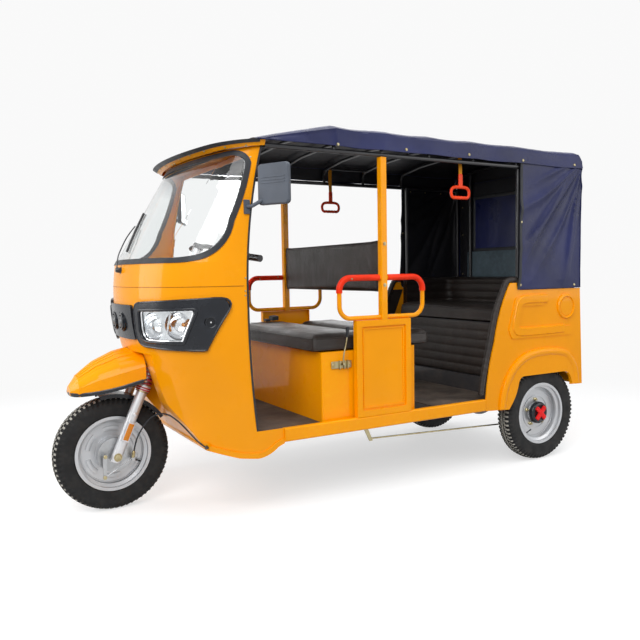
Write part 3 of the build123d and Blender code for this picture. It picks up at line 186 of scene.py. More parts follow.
def enamel(name, rgb, rough, coat, peel=0.05, dust=0.12, metal=0.0, shine=0.4):
    """Sprayed paint: slight mottle, orange peel, and dust that settles low down."""
    colour = srgb(*rgb)
    look = Look(name, Coat_Weight=coat, Coat_Roughness=0.05, Metallic=metal, Specular_IOR_Level=shine)
    mottle = look.blend(look.ramp(look.grain(2.6), 0.35, 0.65), shade(colour, 0.94), shade(colour, 1.03))
    low = look.ramp(look.above_ground(), 0.62, 0.2)
    film = look.times(low, look.ramp(look.grain(9, 5), 0.45, 0.75, 0, dust))
    wear = look.times(look.edges(), look.ramp(look.grain(60), 0.5, 0.7, 0, 0.35))
    look.paint(film, look.blend(wear, mottle, shade(colour, 1.25)), srgb(168, 150, 128))
    look.roughen(14, 4, rough - 0.05, rough + 0.07)
    look.raise_by(look.grain(420, 2), peel, 0.0006)


def moulded(name, rgb, rough, depth=0.25, scale=700, shine=0.5):
    """Plastic or rubber with a fine moulded texture and lighter worn edges."""
    colour = srgb(*rgb)
    look = Look(name, Specular_IOR_Level=shine)
    tone = look.blend(look.ramp(look.grain(6, 4), 0.35, 0.7), shade(colour, 0.85), shade(colour, 1.2))
    scuffs = look.times(look.edges(), look.ramp(look.grain(45, 3), 0.4, 0.7, 0, 0.5))
    look.paint(scuffs, tone, shade(colour, 2.2))
    look.roughen(18, 4, rough - 0.06, rough + 0.1)
    look.raise_by(look.grain(scale, 2), depth, 0.0004)


def metal(name, rgb, rough, scratch=0.25, stain=None, stain_share=0.0):
    """Bare or plated metal with fine scratches and patchy stains."""
    colour = srgb(*rgb)
    look = Look(name, Metallic=1.0)
    tone = look.blend(look.ramp(look.grain(22, 4), 0.3, 0.75), shade(colour, 0.8), shade(colour, 1.1))
    if stain:
        tone = look.blend(look.ramp(look.grain(38, 5), 0.5, 0.7, 0, stain_share), tone, srgb(*stain))
    look.drive("Base Color", tone)
    look.roughen(30, 5, rough - 0.08, rough + 0.12)
    look.raise_by(look.grain(160, 3, look.stretch((1, 8, 1))), scratch, 0.0003)


def canvas(name, rgb, rough, coat):
    """Coated cloth: a tight plain weave under a glossy film, creased here and there."""
    colour = srgb(*rgb)
    look = Look(name, Coat_Weight=coat, Coat_Roughness=0.25, Specular_IOR_Level=0.26)
    look.paint(look.ramp(look.grain(3.2, 5), 0.3, 0.75), shade(colour, 0.72), shade(colour, 1.4))
    look.roughen(6, 5, rough - 0.08, rough + 0.1)
    look.raise_by(look.grain(22, 4, look.stretch((1, 1, 0.4), (0.2, 0.5, 0.3))), 0.25, 0.004)
    look.raise_by(look.times(look.waves(260, "X"), look.waves(260, "DIAGONAL")), 0.35, 0.0004)


# ------------------------------------------------------------------ camera, floor and light
camera_data = bpy.data.cameras.new("camera")
camera_data.lens = LENS_MM
camera_data.sensor_width = SENSOR_MM
camera = link("camera", camera_data)
camera.matrix_world = Matrix((
    (-0.86616, -0.04936, 0.49732, 1.895),
    (0.49948, -0.05223, 0.86475, 3.2388),
    (-0.01671, 0.99741, 0.06990, 1.0893),
    (0, 0, 0, 1),
))
scene.camera = camera
scene.view_settings.view_transform = "Standard"

NEAR_WHITE = (0.95, 0.95, 0.95, 1)
world = bpy.data.worlds.new("studio")
scene.world = world
world.use_nodes = True
sky = world.node_tree
sky.nodes.clear()
soft_light = add_node(sky, "Background", (("Color", (0.93, 0.96, 1.0, 1)), ("Strength", 0.30)))
backdrop = add_node(sky, "Background", (("Color", NEAR_WHITE), ("Strength", 1.0)))
shown = add_node(sky, "MixShader", enumerate((sees_background(sky), soft_light.outputs[0], backdrop.outputs[0])))
add_node(sky, "OutputWorld", (("Surface", shown.outputs[0]),))

# the floor takes the object's shadow near it and fades to the backdrop's white further out
FLOOR_REACH, FADE_START, FADE_END = 14, 1.9, 4.6
floor_mesh = bpy.data.meshes.new("floor")
floor_corners = [(x * FLOOR_REACH, y * FLOOR_REACH, 0) for x, y in ((-1, -1), (1, -1), (1, 1), (-1, 1))]
floor_mesh.from_pydata(floor_corners, [], [(0, 1, 2, 3)])
floor = link("floor", floor_mesh)
paper = Look("floor_paper", Roughness=0.9, Specular_IOR_Level=0.0, Emission_Color=NEAR_WHITE)
reach = paper.node("VectorMath", ((0, paper.place),), operation="LENGTH").outputs["Value"]
fade = paper.node("MapRange", enumerate((reach, FADE_START, FADE_END)), interpolation_type="SMOOTHSTEP").outputs[0]
paper.drive("Base Color", paper.ramp(fade, 0, 1, 0.55, 0.0))
paper.drive("Emission Strength", paper.times(sees_background(paper.tree), paper.ramp(fade, 0, 1, 0.60, 1.0)))
floor_mesh.materials.append(paper.material)

for name, place, aim, size, watts in (
    ("key", (3.2, 3.4, 3.6), (0.1, 0, 0.7), 3.2, 175),
    ("overhead", (-0.6, 0.8, 4.6), (-0.3, 0, 0.9), 4.5, 130),
    ("side", (-3.4, 3.6, 2.0), (-0.6, 0, 0.8), 2.6, 40),
    ("front", (4.4, -1.6, 2.0), (0.8, 0, 0.9), 2.4, 80),
    ("behind", (-2.6, -4.2, 3.0), (-0.2, 0, 1.0), 3.0, 40),
):
    lamp = bpy.data.lights.new(name, "AREA")
    lamp.size = size
    lamp.energy = watts
    holder = link(name, lamp)
    holder.location = place
    holder.rotation_euler = (Vector(aim) - Vector(place)).to_track_quat("-Z", "Y").to_euler()

# ------------------------------------------------------------------ materials
enamel("body_paint", (253, 161, 0), 0.3, 0.25, dust=0.02, shine=0.05)
enamel("black_steel", (34, 34, 37), 0.38, 0.25, peel=0.12, dust=0.25)
enamel("spring_steel", (38, 38, 40), 0.45, 0.1, peel=0.2, dust=0.4)
enamel("silver_paint", (208, 209, 212), 0.32, 0.3, metal=0.55, dust=0.1)
enamel("rim_silver", (186, 188, 191), 0.36, 0.25, metal=0.6, dust=0.2)
enamel("spring_red", (170, 14, 34), 0.26, 0.6)
enamel("seat_panel", (48, 49, 53), 0.4, 0.2, peel=0.3, dust=0.2)
moulded("black_rubber", (36, 38, 42), 0.45, shine=0.3)
moulded("dark_plastic", (26, 29, 35), 0.22, depth=0.08, shine=0.35)
moulded("grip_rubber", (242, 48, 8), 0.36, depth=0.3, scale=380, shine=0.2)
moulded("strap_plastic", (238, 62, 10), 0.32, depth=0.12, shine=0.22)
moulded("worn_tread", (158, 155, 147), 0.8, depth=0.3, shine=0.2)
moulded("mirror_slate", (76, 82, 92), 0.4, depth=0.2, shine=0.4)
moulded("hub_red", (232, 30, 30), 0.34, depth=0.1, shine=0.2)
moulded("board_slate", (78, 92, 100), 0.45, shine=0.3)
moulded("seam_shadow", (96, 44, 4), 0.6, shine=0.2)
metal("bright_zinc", (172, 162, 128), 0.34, stain=(140, 112, 52), stain_share=0.6)
metal("motor_casting", (120, 121, 122), 0.5, scratch=0.5)
metal("wheel_alloy", (176, 178, 180), 0.4, scratch=0.3)
metal("lamp_chrome", (235, 236, 238), 0.1, scratch=0.05)
metal("mirror_glass", (222, 226, 228), 0.1, scratch=0.01)
canvas("roof_cloth", (24, 30, 74), 0.32, 0.05)
canvas("roof_lining", (24, 24, 29), 0.6, 0.05)
canvas("grab_webbing", (236, 150, 26), 0.6, 0.0)

# seat cloth: pebbled grain, soft creases and a worn sheen
vinyl = Look("seat_vinyl", Specular_IOR_Level=0.3)
vinyl_brown = srgb(42, 36, 33)
vinyl.paint(vinyl.ramp(vinyl.grain(7, 4), 0.35, 0.7), shade(vinyl_brown, 0.8), shade(vinyl_brown, 1.35))
vinyl.roughen(11, 4, 0.29, 0.45)
vinyl.raise_by(vinyl.grain(16, 3, vinyl.stretch((0.35, 1.4, 1.0), (0.3, 0.2, 0.5))), 0.35, 0.006)
vinyl.raise_by(vinyl.ramp(vinyl.cells(520), 0.0, 0.18), 0.5, 0.0005)

# the windscreen, shaded along its top
glass = Look("clear_glass", Transmission_Weight=1.0, IOR=1.35, Specular_IOR_Level=0.5)
glass.paint(glass.ramp(glass.above_ground(), 1.5, 1.6), (0.93, 0.95, 0.95, 1), (0.42, 0.44, 0.46, 1))
glass.roughen(9, 5, 0.0, 0.05, 0.4, 0.8)

cover = Look("lamp_glass", Transmission_Weight=1.0, IOR=1.3)
cover.paint(cover.ramp(cover.grain(12), 0.4, 0.6), (0.92, 0.94, 0.95, 1), (0.97, 0.98, 0.98, 1))
cover.roughen(30, 4, 0.0, 0.05, 0.4, 0.8)

tail = Look("tail_glass", Specular_IOR_Level=0.35, Coat_Weight=0.3)
tail.paint(tail.waves(60, "Z"), (0.34, 0.004, 0.006, 1), (0.60, 0.012, 0.012, 1))
tail.roughen(30, 3, 0.12, 0.22)
tail.raise_by(tail.waves(60, "Z"), 0.6, 0.001)

amber = Look("amber_lens", Specular_IOR_Level=0.3, Coat_Weight=0.15)
amber.paint(amber.cells(240), (0.70, 0.22, 0.0, 1), (0.92, 0.36, 0.0, 1))
amber.roughen(40, 3, 0.12, 0.25)
amber.raise_by(amber.cells(240), 0.7, 0.001)

ribbed = Look("floor_sheet", Specular_IOR_Level=0.4)
ribbed.paint(ribbed.ramp(ribbed.grain(7, 5), 0.35, 0.7), srgb(58, 50, 44), srgb(96, 84, 74))
ribbed.roughen(12, 4, 0.55, 0.8)
ribbed.raise_by(ribbed.ramp(ribbed.waves(32, "X"), 0.55, 0.75), 0.8, 0.0012)

rubber = Look("tyre", Specular_IOR_Level=0.3)
rubber.paint(rubber.ramp(rubber.grain(34, 5), 0.42, 0.68), srgb(27, 27, 28), srgb(37, 36, 35))
rubber.roughen(20, 4, 0.62, 0.85)
rubber.raise_by(rubber.grain(500, 2), 0.3, 0.0005)

for entry in frame["record"]["subparts"]:
    held = cad[entry["node"]]
    held.data.materials.clear()
    held.data.materials.append(looks[entry["material_slot"]].material)
cad["mirror_housings"].data.materials[0] = looks["mirror_slate"].material


# ------------------------------------------------------------------ making pieces
made = {}


def smooth(mesh, sharp=None):
    """Shade a mesh smooth, apart from edges that turn more than a number of degrees."""
    mesh.polygons.foreach_set("use_smooth", [True] * len(mesh.polygons))
    if sharp:
        mesh.set_sharp_from_angle(angle=math.radians(sharp))


def settle(piece, body="body"):
    """Hang a piece on the body that it rides on, if it has one, and keep it among the made pieces."""
    if body:
        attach(piece, body)
    made[piece.name] = piece
    return piece


def many(name, shapes, slot, look=None, body="body", sharp=38):
    """One piece from several closed (points, faces) shapes."""
    points, faces = [], []
    for more_points, more_faces in shapes:
        faces += [[len(points) + i for i in face] for face in more_faces]
        points += more_points
    mesh = bpy.data.meshes.new(name)
    mesh.from_pydata([tuple(p) for p in points], [], faces)
    mesh.validate()
    form = bmesh.new()
    form.from_mesh(mesh)
    bmesh.ops.recalc_face_normals(form, faces=form.faces)
    form.to_mesh(mesh)
    form.free()
    mesh.materials.append(looks[look or slot].material)
    if sharp:
        smooth(mesh, sharp)
    return settle(link(name, mesh), body)


def mm(*rows):
    """Rows of millimetres as metres."""
    return [tuple(value / 1000 for value in row) for row in rows]


def spread(low, high, count):
    """Evenly spaced numbers from low to high."""
    return [low + (high - low) * i / (count - 1) for i in range(count)]


def filled(line, step):
    """A closed line with points added, so that no two are much further apart than a step."""
    full = []
    for a, b in zip(line, line[1:] + line[:1]):
        parts = max(1, round((b - a).length / step))
        full += [a.lerp(b, i / parts) for i in range(parts)]
    return full


def polar(radius, degrees, height=0):
    """A point by its radius and angle in a plane."""
    angle = math.radians(degrees)
    return Vector((radius * math.cos(angle), radius * math.sin(angle), height))


def frame_at(origin, axis, roll=UP):
    """A placing matrix whose Z points along an axis."""
    z = Vector(axis).normalized()
    x = roll.cross(z)
    if x.length < 1e-4:
        x = AHEAD.cross(z)
    x.normalize()
    place = Matrix((x, z.cross(x), z)).transposed().to_4x4()
    place.translation = Vector(origin)
    return place


def mirrored_frames(point, axis):
    """Placing matrices at a point and at its mirror image across the vehicle's middle."""
    return [frame_at((point[0], hand * point[1], point[2]), (axis[0], hand * axis[1], axis[2])) for hand in (1, -1)]


def ring_faces(count, size, cyclic=False):
    """Faces along a run of equal rings of points, with caps on its ends unless it is cyclic."""
    faces = []
    for i in range(count if cyclic else count - 1):
        a, b = i * size, (i + 1) % count * size
        for k in range(size):
            n = (k + 1) % size
            faces.append([a + k, a + n, b + n, b + k])
    if not cyclic:
        faces.append(list(range(size))[::-1])
        faces.append([(count - 1) * size + k for k in range(size)])
    return faces


def turned(profile, place, segments=28):
    """A profile of (radius, height) pairs in millimetres, spun about the placing matrix's Z."""
    points, faces, rings = [], [], []
    for radius, height in profile:
        steps = segments if radius else 1
        rings.append(range(len(points), len(points) + steps))
        for step in range(steps):
            points.append(place @ polar(radius / 1000, 360 * step / segments, height / 1000))
    for low, high in zip(rings, rings[1:]):
        for step in range(segments):
            after = (step + 1) % segments
            corners = low[step % len(low)], low[after % len(low)], high[after % len(high)], high[step % len(high)]
            kept = list(dict.fromkeys(corners))
            if len(kept) > 2:
                faces.append(kept)
    return points, faces


def dome(radius, height, foot=0.6):
    """The profile of a low domed stud, with a foot that sinks into what carries it."""
    return [(0, -foot), (radius, -foot), (radius, height * 0.25), (radius * 0.86, height * 0.7),
            (radius * 0.5, height * 0.95), (0, height)]


def hexagon(radius, height, foot=0.6):
    """The profile of a nut, for six segments."""
    return [(0, -foot), (radius, -foot), (radius, height * 0.8), (radius * 0.82, height), (0, height)]


def oval(width, height, sides=8):
    """A section round an oval of two half widths, in millimetres."""
    turns = [math.tau * k / sides for k in range(sides)]
    return [(width * math.cos(turn), height * math.sin(turn)) for turn in turns]


def rounded_rectangle(half_x, half_y, corner, steps):
    """Pairs round a rectangle with rounded corners."""
    pairs = []
    for sx, sy, start in ((1, 1, 0), (-1, 1, 90), (-1, -1, 180), (1, -1, 270)):
        for step in range(steps):
            x, y, _ = polar(corner, start + 90 * step / (steps - 1))
            pairs.append((sx * (half_x - corner) + x, sy * (half_y - corner) + y))
    return pairs


def slab(place, width, height, depth, corner=3, bevel=1.2):
    """A plate in millimetres with rounded corners and softened edges, along the placing matrix's Z."""
    outline = rounded_rectangle(width / 2, height / 2, corner, 5)
    rows = ((0, 0), (0, depth - bevel), (bevel, depth))
    points = [place @ (Vector((x * (1 - 2 * inset / width), y * (1 - 2 * inset / height), z)) / 1000)
              for inset, z in rows for x, y in outline]
    return points, ring_faces(len(rows), len(outline))


def smooth_line(points, cyclic=False, resolution=6):
    """Points along a NURBS line through a hull of control points."""
    curve = bpy.data.curves.new("line", "CURVE")
    curve.dimensions = "3D"
    spline = curve.splines.new("NURBS")
    spline.points.add(len(points) - 1)
    for knot, place in zip(spline.points, points):
        knot.co = (*place, 1)
    spline.order_u = 3
    spline.use_endpoint_u = not cyclic
    spline.use_cyclic_u = cyclic
    spline.resolution_u = resolution
    holder = bpy.data.objects.new("line", curve)
    mesh = bpy.data.meshes.new_from_object(holder)
    line = [v.co.copy() for v in mesh.vertices]
    bpy.data.objects.remove(holder)
    bpy.data.curves.remove(curve)
    bpy.data.meshes.remove(mesh)
    return line


def swept(line, section, cyclic=False, up=UP):
    """A closed section along a line: (side, up) pairs in millimetres, or a function of the share along."""
    points = []
    count = len(line)
    side = None
    for i, here in enumerate(line):
        before = line[i - 1] if i or cyclic else here
        after = line[(i + 1) % count] if i < count - 1 or cyclic else here
        along = (after - before).normalized()
        side_now = along.cross(up)
        if side_now.length < 0.15:
            side_now = side if side is not None else along.orthogonal()
        side_now = (side_now - along * side_now.dot(along)).normalized()
        if side is not None and side_now.dot(side) < 0:
            side_now = -side_now
        side = side_now
        rise = side.cross(along)
        shape = section(i / max(1, count - 1)) if callable(section) else section
        points += [here + side * (a / 1000) + rise * (b / 1000) for a, b in shape]
    return points, ring_faces(count, len(points) // count, cyclic)


# ------------------------------------------------------------------ placing by rays
trees = {}


def tree_of(name):
    """A search tree of a CAD node's or a made piece's faces."""
    if name not in trees:
        mesh = (cad.get(name) or made[name]).data
        trees[name] = BVHTree.FromPolygons([v.co for v in mesh.vertices], [list(p.vertices) for p in mesh.polygons])
    return trees[name]


def cast(names, origin, direction):
    """The first surface that a ray meets, as its point and outward normal, or None."""
    direction = Vector(direction)
    hits = [tree_of(name).ray_cast(Vector(origin), direction.normalized()) for name in names]
    hits = [hit for hit in hits if hit[0] is not None]
    if not hits:
        return None
    point, normal, _, _ = min(hits, key=lambda hit: hit[3])
    return point, (-normal if normal.dot(direction) > 0 else normal).normalized()


def raised(names, origin, direction, lift):
    """The point at a height over the first surface that a ray meets, or None."""
    hit = cast(names, origin, direction)
    return hit and hit[0] + hit[1] * lift


def seen(names, px, py):
    """The surface under a point of the photograph, in pixels."""
    reach = SENSOR_MM / LENS_MM
    sight = Vector(((px / PHOTO_PIXELS - 0.5) * reach, (0.5 - py / PHOTO_PIXELS) * reach, -1))
    return cast(names, camera.matrix_world.translation, camera.matrix_world.to_3x3() @ sight)


# ------------------------------------------------------------------ tyres
FRONT_AXLE = Vector((1.170, 0, 0.265))
REAR_AXLES = {side: Vector((-1.120, side * 0.467, 0.265)) for _, side in SIDES}
TREAD_LUGS = 66
LUG_STEPS = ((0.0, False), (0.1, True), (0.5, True), (0.6, False))
CROWN_RADIUS = 0.2575


def tyre_section(lug):
    """The tyre's section as (radius, side) pairs in millimetres, through a lug or a groove."""
    depth, edge, centre = (0, 0, 5.5) if lug else (6.5, 4.5, 0)
    half = [
        (167.6, 37.5), (175.5, 37.8), (179, 43.6), (184, 45.2), (184.6, 46.2), (188, 46.6), (198, 48.2), (210, 49),
        (222, 48.7), (222.5, 48.2), (226, 48), (236, 46.8), (240 - edge * 0.3, 46.2 - edge * 0.5),
        (248.5 - edge, 44.2 - edge * 0.7), (255.5 - depth, 40.5 - edge * 0.4), (260.5 - depth, 34),
        (262.2 - depth, 26.5), (256.5, 25), (256.5, 21.5), (263.4 - centre * 0.8, 20), (264.6 - centre * 0.8, 11),
        (258.5, 9.5), (258.5, 6.5), (265, 5), (265.2, 0),
    ]
    return half + [(radius, -side) for radius, side in reversed(half[:-1])]


for name, centre, node, body in (
    ("front_tyre_tread", FRONT_AXLE, "front_tyre", "front_wheel"),
    ("rear_tyre_tread_left", REAR_AXLES[1], "rear_tyre_left", "rear_wheel_left"),
    ("rear_tyre_tread_right", REAR_AXLES[-1], "rear_tyre_right", "rear_wheel_right"),
):
    points = []
    for lug in range(TREAD_LUGS):
        for share, on_lug in LUG_STEPS:
            section = tyre_section(on_lug)
            for radius, side in section:
                x, z, _ = polar(radius, 360 * (lug + share) / TREAD_LUGS)
                points.append(centre + Vector((x, side, z)) / 1000)
    faces = ring_faces(TREAD_LUGS * len(LUG_STEPS), len(section), cyclic=True)
    tyre = many(name, [(points, faces)], "tyre", body=body)
    tyre.data.materials.append(looks["worn_tread"].material)
    for face in tyre.data.polygons:
        arm = face.center - centre
        arm.y = 0
        if arm.length > CROWN_RADIUS and abs(face.normal.dot(arm.normalized())) > 0.5:
            face.material_index = 1
    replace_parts(tyre, node)

# ------------------------------------------------------------------ wheels
# the front disc: an embossed ring, a ring near the rim and six arcs
front_face = frame_at(FRONT_AXLE, LEFT)
shapes = []
for radius, width, rise in ((77.5, 4, 7), (141, 3, 6)):
    crest = width * 0.6
    ring = [(radius - width, 2.9), (radius - crest, rise), (radius + crest, rise), (radius + width, 2.9)]
    shapes.append(turned(ring, front_face, 72))
for turn in range(6):
    line = [front_face @ polar(0.112, 60 * turn + 12 + 4.6 * step, 0.0025) for step in range(9)]
    shapes.append(swept(line, [(-12, 0), (-10.5, 3), (-6, 4.5), (6, 4.5), (10.5, 3), (12, 0)], up=LEFT))
many("front_disc_relief", shapes, "rim_silver", body="front_wheel")


def valve(name, centre, side, body, degrees):
    """A tyre valve on the disc, which leans out and towards the hub."""
    x, z, _ = polar(1, degrees)
    reach, out = Vector((x, 0, z)), Vector((0, side * 0.014, 0))
    stem = [(0, -2), (4.2, 0), (4, 6), (2.8, 10), (2.8, 20), (3.6, 21), (3.6, 30), (2.4, 32), (0, 32)]
    place = frame_at(centre + reach * 0.139 + out, out - reach * 0.022)
    many(name, [turned(stem, place, 14)], "black_rubber", body=body)


valve("front_valve", FRONT_AXLE, 1, "front_wheel", 205)

# rear wheels: a black cap with a red cross, wheel nuts, a rib and a ring on the disc, and the valve
CAP = ((61.5, 8.5), (63, 11), (61.5, 26), (57, 33), (47, 36.5), (43, 34), (22, 34), (0, 34))
CROSS_BOSS = ((18, 33), (17.5, 45), (10, 48), (0, 48))
DISC_FACE = -3.1
for label, side in SIDES:
    body = f"rear_wheel_{label}"
    axis = Vector((0, side, 0))
    face = frame_at(REAR_AXLES[side], axis)
    many(f"rear_hub_cap_{label}", [turned(CAP, face, 40)], "dark_plastic", body=body)
    shapes = []
    for degrees in (45, 135, 225, 315):
        arm = Matrix.Translation(polar(0.025, degrees, 0.036)) @ Matrix.Rotation(math.radians(degrees), 4, "Z")
        shapes.append(slab(face @ arm, 44, 24, 10.5, 6, 2))
    many(f"rear_hub_cross_{label}", shapes + [turned(CROSS_BOSS, face)], "spring_red", "hub_red", body)
    shapes = []
    for turn in range(5):
        place = frame_at(face @ polar(0.074, 72 * turn + 20, DISC_FACE / 1000), axis)
        shapes.append(turned(hexagon(10.5, 10), place, 6))
        shapes.append(turned([(0, 9), (5.5, 10), (5, 17), (0, 18)], place, 12))
    many(f"rear_wheel_nuts_{label}", shapes, "bright_zinc", body=body)
    ring = [(138, DISC_FACE), (137.5, 1), (131, 2), (130, DISC_FACE)]
    rib = [(98, DISC_FACE), (97.5, 0.5), (92, 0.5), (91.5, DISC_FACE)]
    shapes = [turned(profile, face, 64) for profile in (ring, rib)]
    many(f"rear_disc_relief_{label}", shapes, "rim_silver", body=body)
    valve(f"rear_valve_{label}", REAR_AXLES[side] + axis * 0.004, side, body, -50)

# ------------------------------------------------------------------ fork trim
RAKE = math.radians(23.5)
LEG = Vector((-math.sin(RAKE), 0, math.cos(RAKE)))
LEG_FRONT = Vector((math.cos(RAKE), 0, math.sin(RAKE)))


def on_leg(along, side):
    """A point by its distance up the fork's legs and to the left."""
    return FRONT_AXLE + LEG * along + LEFT * side


frames, reflectors, buttons, collars, bands = [], [], [], [], []
for side in (-1, 1):
    out = LEFT * side
    plate = frame_at(on_leg(0.122, side * 0.132), out, LEG_FRONT) @ Matrix.Rotation(math.radians(90), 4, "Z")
    frames.append(slab(plate, 31, 91, 1.5, 3, 0.5))
    reflectors.append(slab(plate @ Matrix.Translation((0, 0, 0.0012)), 24, 78, 3, 2, 1))
    buttons.append(turned(dome(9.5, 8), frame_at(on_leg(0.205, side * 0.1215), out), 20))
    base = frame_at(on_leg(0.311, side * 0.098), LEG)
    collars.append(turned([(29.2, -1), (30.5, 0), (30.5, 4), (29.2, 6)], base, 36))
    for height in (9.5, 19.5):
        band = [(32.9, height - 2), (34.5, height - 1), (34.5, height + 4), (32.9, height + 5)]
        bands.append(turned(band, base, 40))
many("leg_reflector_frames", frames, "silver_paint", body="fork")
many("leg_reflectors", reflectors, "tail_glass", "amber_lens", "fork")
many("leg_buttons", buttons, "silver_paint", body="fork")
many("leg_dust_lips", collars, "bright_zinc", body="fork")
many("spring_seat_bands", bands, "spring_red", body="fork")

shapes = []
for side in (-1, 1):
    tip = frame_at(FRONT_AXLE + LEFT * side * 0.1225, LEFT * side)
    shapes.append(turned(hexagon(15.5, 10.5), tip, 6))
    shapes.append(turned([(18.5, -1), (19, 1.2), (10.5, 1.8), (10.5, -1)], tip, 28))
many("front_axle_nuts", shapes, "bright_zinc", body="fork")

# the brake plate's two nuts and the cable's stop
shapes = [turned(hexagon(9.5, 6), frame_at(spot, LEFT), 6) for spot in mm((1222, 101, 270), (1226, 97.2, 174))]
stop = [(7.2, 0), (7.8, 3), (7.8, 26), (6, 30), (3.6, 33)]
shapes.append(turned(stop, frame_at((1.0975, 0.0968, 0.248), (-0.16, 0.08, 1)), 16))
many("front_brake_fittings", shapes, "bright_zinc", body="fork")

# the front brake's cable: one free line from the stop on the brake to the clip on the cab's lip
CABLE_ROUTE = mm(
    (1097, 97, 251), (1089, 101, 297), (1078, 107, 339), (1061, 117, 376), (1036, 132, 418), (1009, 154, 446),
    (980, 182, 456), (954, 216, 450), (937, 257, 433), (929, 289, 422), (921, 319, 408), (899, 359, 375),
    (883, 391, 350), (866, 431, 335),
)
cable_line = smooth_line(CABLE_ROUTE, resolution=8)
cable = many("brake_cable_run", [swept(cable_line, oval(3.4, 3.4, 10))], "black_rubber", body=None)
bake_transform(cable)
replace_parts(cable, "brake_cable")
clip = [(0, -1), (9, -1), (9, 1.5), (5.5, 4), (5.5, 11), (0, 12)]
many("cable_clip", [turned(clip, frame_at((0.864, 0.434, 0.3345), (-0.5, 0.85, -0.1)), 16)], "black_steel")

# ------------------------------------------------------------------ cloth tools
def baked(piece, name):
    """Put a piece's modifiers into its mesh."""
    bpy.context.view_layer.update()
    shaped = bpy.data.meshes.new_from_object(piece.evaluated_get(bpy.context.evaluated_depsgraph_get()))
    piece.modifiers.clear()
    bare, piece.data = piece.data, shaped
    bpy.data.meshes.remove(bare)
    shaped.name = name
    return shaped


def lined_sheet(name, rows, thickness, outside, lining, offset, inside_of=None):
    """A cloth sheet of real thickness through rows of points, lined where a face looks along inside_of()."""
    width = len(rows[0])
    corners = [i * width + k for i in range(len(rows) - 1) for k in range(width - 1)]
    mesh = bpy.data.meshes.new(name)
    mesh.from_pydata([tuple(p) for row in rows for p in row], [],
                     [(c, c + 1, c + width + 1, c + width) for c in corners])
    piece = link(name, mesh)
    for look in (outside, lining):
        mesh.materials.append(looks[look].material)
    solid = piece.modifiers.new("thickness", "SOLIDIFY")
    solid.thickness = thickness
    solid.offset = offset
    solid.material_offset = 1
    smooth(baked(piece, name), 50)
    if inside_of:
        for face in piece.data.polygons:
            face.material_index = 1 if face.normal.dot(inside_of(face.center)) > 0.3 else 0
    return settle(piece)


# ------------------------------------------------------------------ cloth roof
BOWS = (0.240, -0.026, -0.310, -0.600, -0.906, -1.380)
ROOF_FRONT, ROOF_PEAK, ROOF_REAR = 0.632, 0.240, -1.410
HALF_ROOF, SHOULDER_INSET = 0.540, 0.008
SHOULDER = 0.84  # the share of the half width at which the crown turns down into the hem
CLOTH = 0.0016


def roof_heights(x):
    """The canopy's hem, shoulder and crown heights at one station."""
    if x > ROOF_PEAK:
        climb = ((ROOF_FRONT - x) / (ROOF_FRONT - ROOF_PEAK)) ** 0.9
        return 1.663 - 0.001 * climb, 1.670 + 0.080 * climb, 1.680 + 0.113 * climb
    run = (ROOF_PEAK - x) / (ROOF_PEAK - ROOF_REAR)
    return 1.662 - 0.006 * run, 1.750 - 0.008 * run, 1.793 - 0.010 * run


def bow_sag(x):
    """How far between two bows a station is, from 0 on a bow to 1 midway."""
    for ahead, behind in zip(BOWS, BOWS[1:]):
        if behind <= x <= ahead:
            return math.sin(math.pi * (ahead - x) / (ahead - behind)) ** 1.3
    return 0.0


def roof_point(x, v, lift=0.0):
    """A point on the roof cloth: v runs from -1 at the right hem over the crown to 1 at the left hem."""
    hem, shoulder, crown = roof_heights(x)
    sag = bow_sag(x)
    side = 1 if v >= 0 else -1
    over = max(0.0, (-1.386 - x) / 0.024)  # how far the station lies on the rear edge's roll
    crown -= 0.012 * over**2
    shoulder -= 0.016 * over
    hem -= 0.0045 * sag * (0.6 + 0.4 * math.sin(x * 9 + side))
    if abs(v) > SHOULDER:
        share = (1 - abs(v)) / 0.16
        rise = hem + (shoulder - 0.014 - 0.012 * over - hem) * share
        out = HALF_ROOF - SHOULDER_INSET * share - 0.0035 * sag * math.sin(math.pi * min(1, share + 0.2))
        if x > ROOF_PEAK:
            out -= 0.002
        ripple = 0.0018 * noise.noise(Vector((x * 11, side * 3, share * 1.5)))
        return Vector((x, side * (out + ripple + lift), rise))
    across = abs(v) / SHOULDER
    round_off = (0.014 + 0.012 * over) * max(0.0, (across - 0.90) / 0.10) ** 2
    dip = sag * 0.0085 * (1 - 0.45 * across**2)
    crease = 0.0022 * sag * noise.noise(Vector((x * 3.0, side * across * 14, 2.0)))
    crease += 0.0016 * noise.noise(Vector((x * 24, side * across * 2.2, 7.0)))
    height = crown - (crown - shoulder) * across**2 - round_off - dip + crease
    return Vector((x, side * (HALF_ROOF - SHOULDER_INSET) * across, height + lift))


stations = sorted(set(spread(ROOF_FRONT, ROOF_REAR, 118)) | set(BOWS), reverse=True)
across_steps = [*spread(-1, -SHOULDER, 9), *spread(-SHOULDER, SHOULDER, 61)[1:-1], *spread(SHOULDER, 1, 9)]
canopy_rows = [[roof_point(x, v) for v in across_steps] for x in stations]
canopy = lined_sheet("canopy_cloth", canopy_rows, 0.0018, "roof_cloth", "roof_lining", 1,
                     lambda centre: (Vector((centre.x, 0, 1.60)) - centre).normalized())
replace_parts(canopy, "canopy")

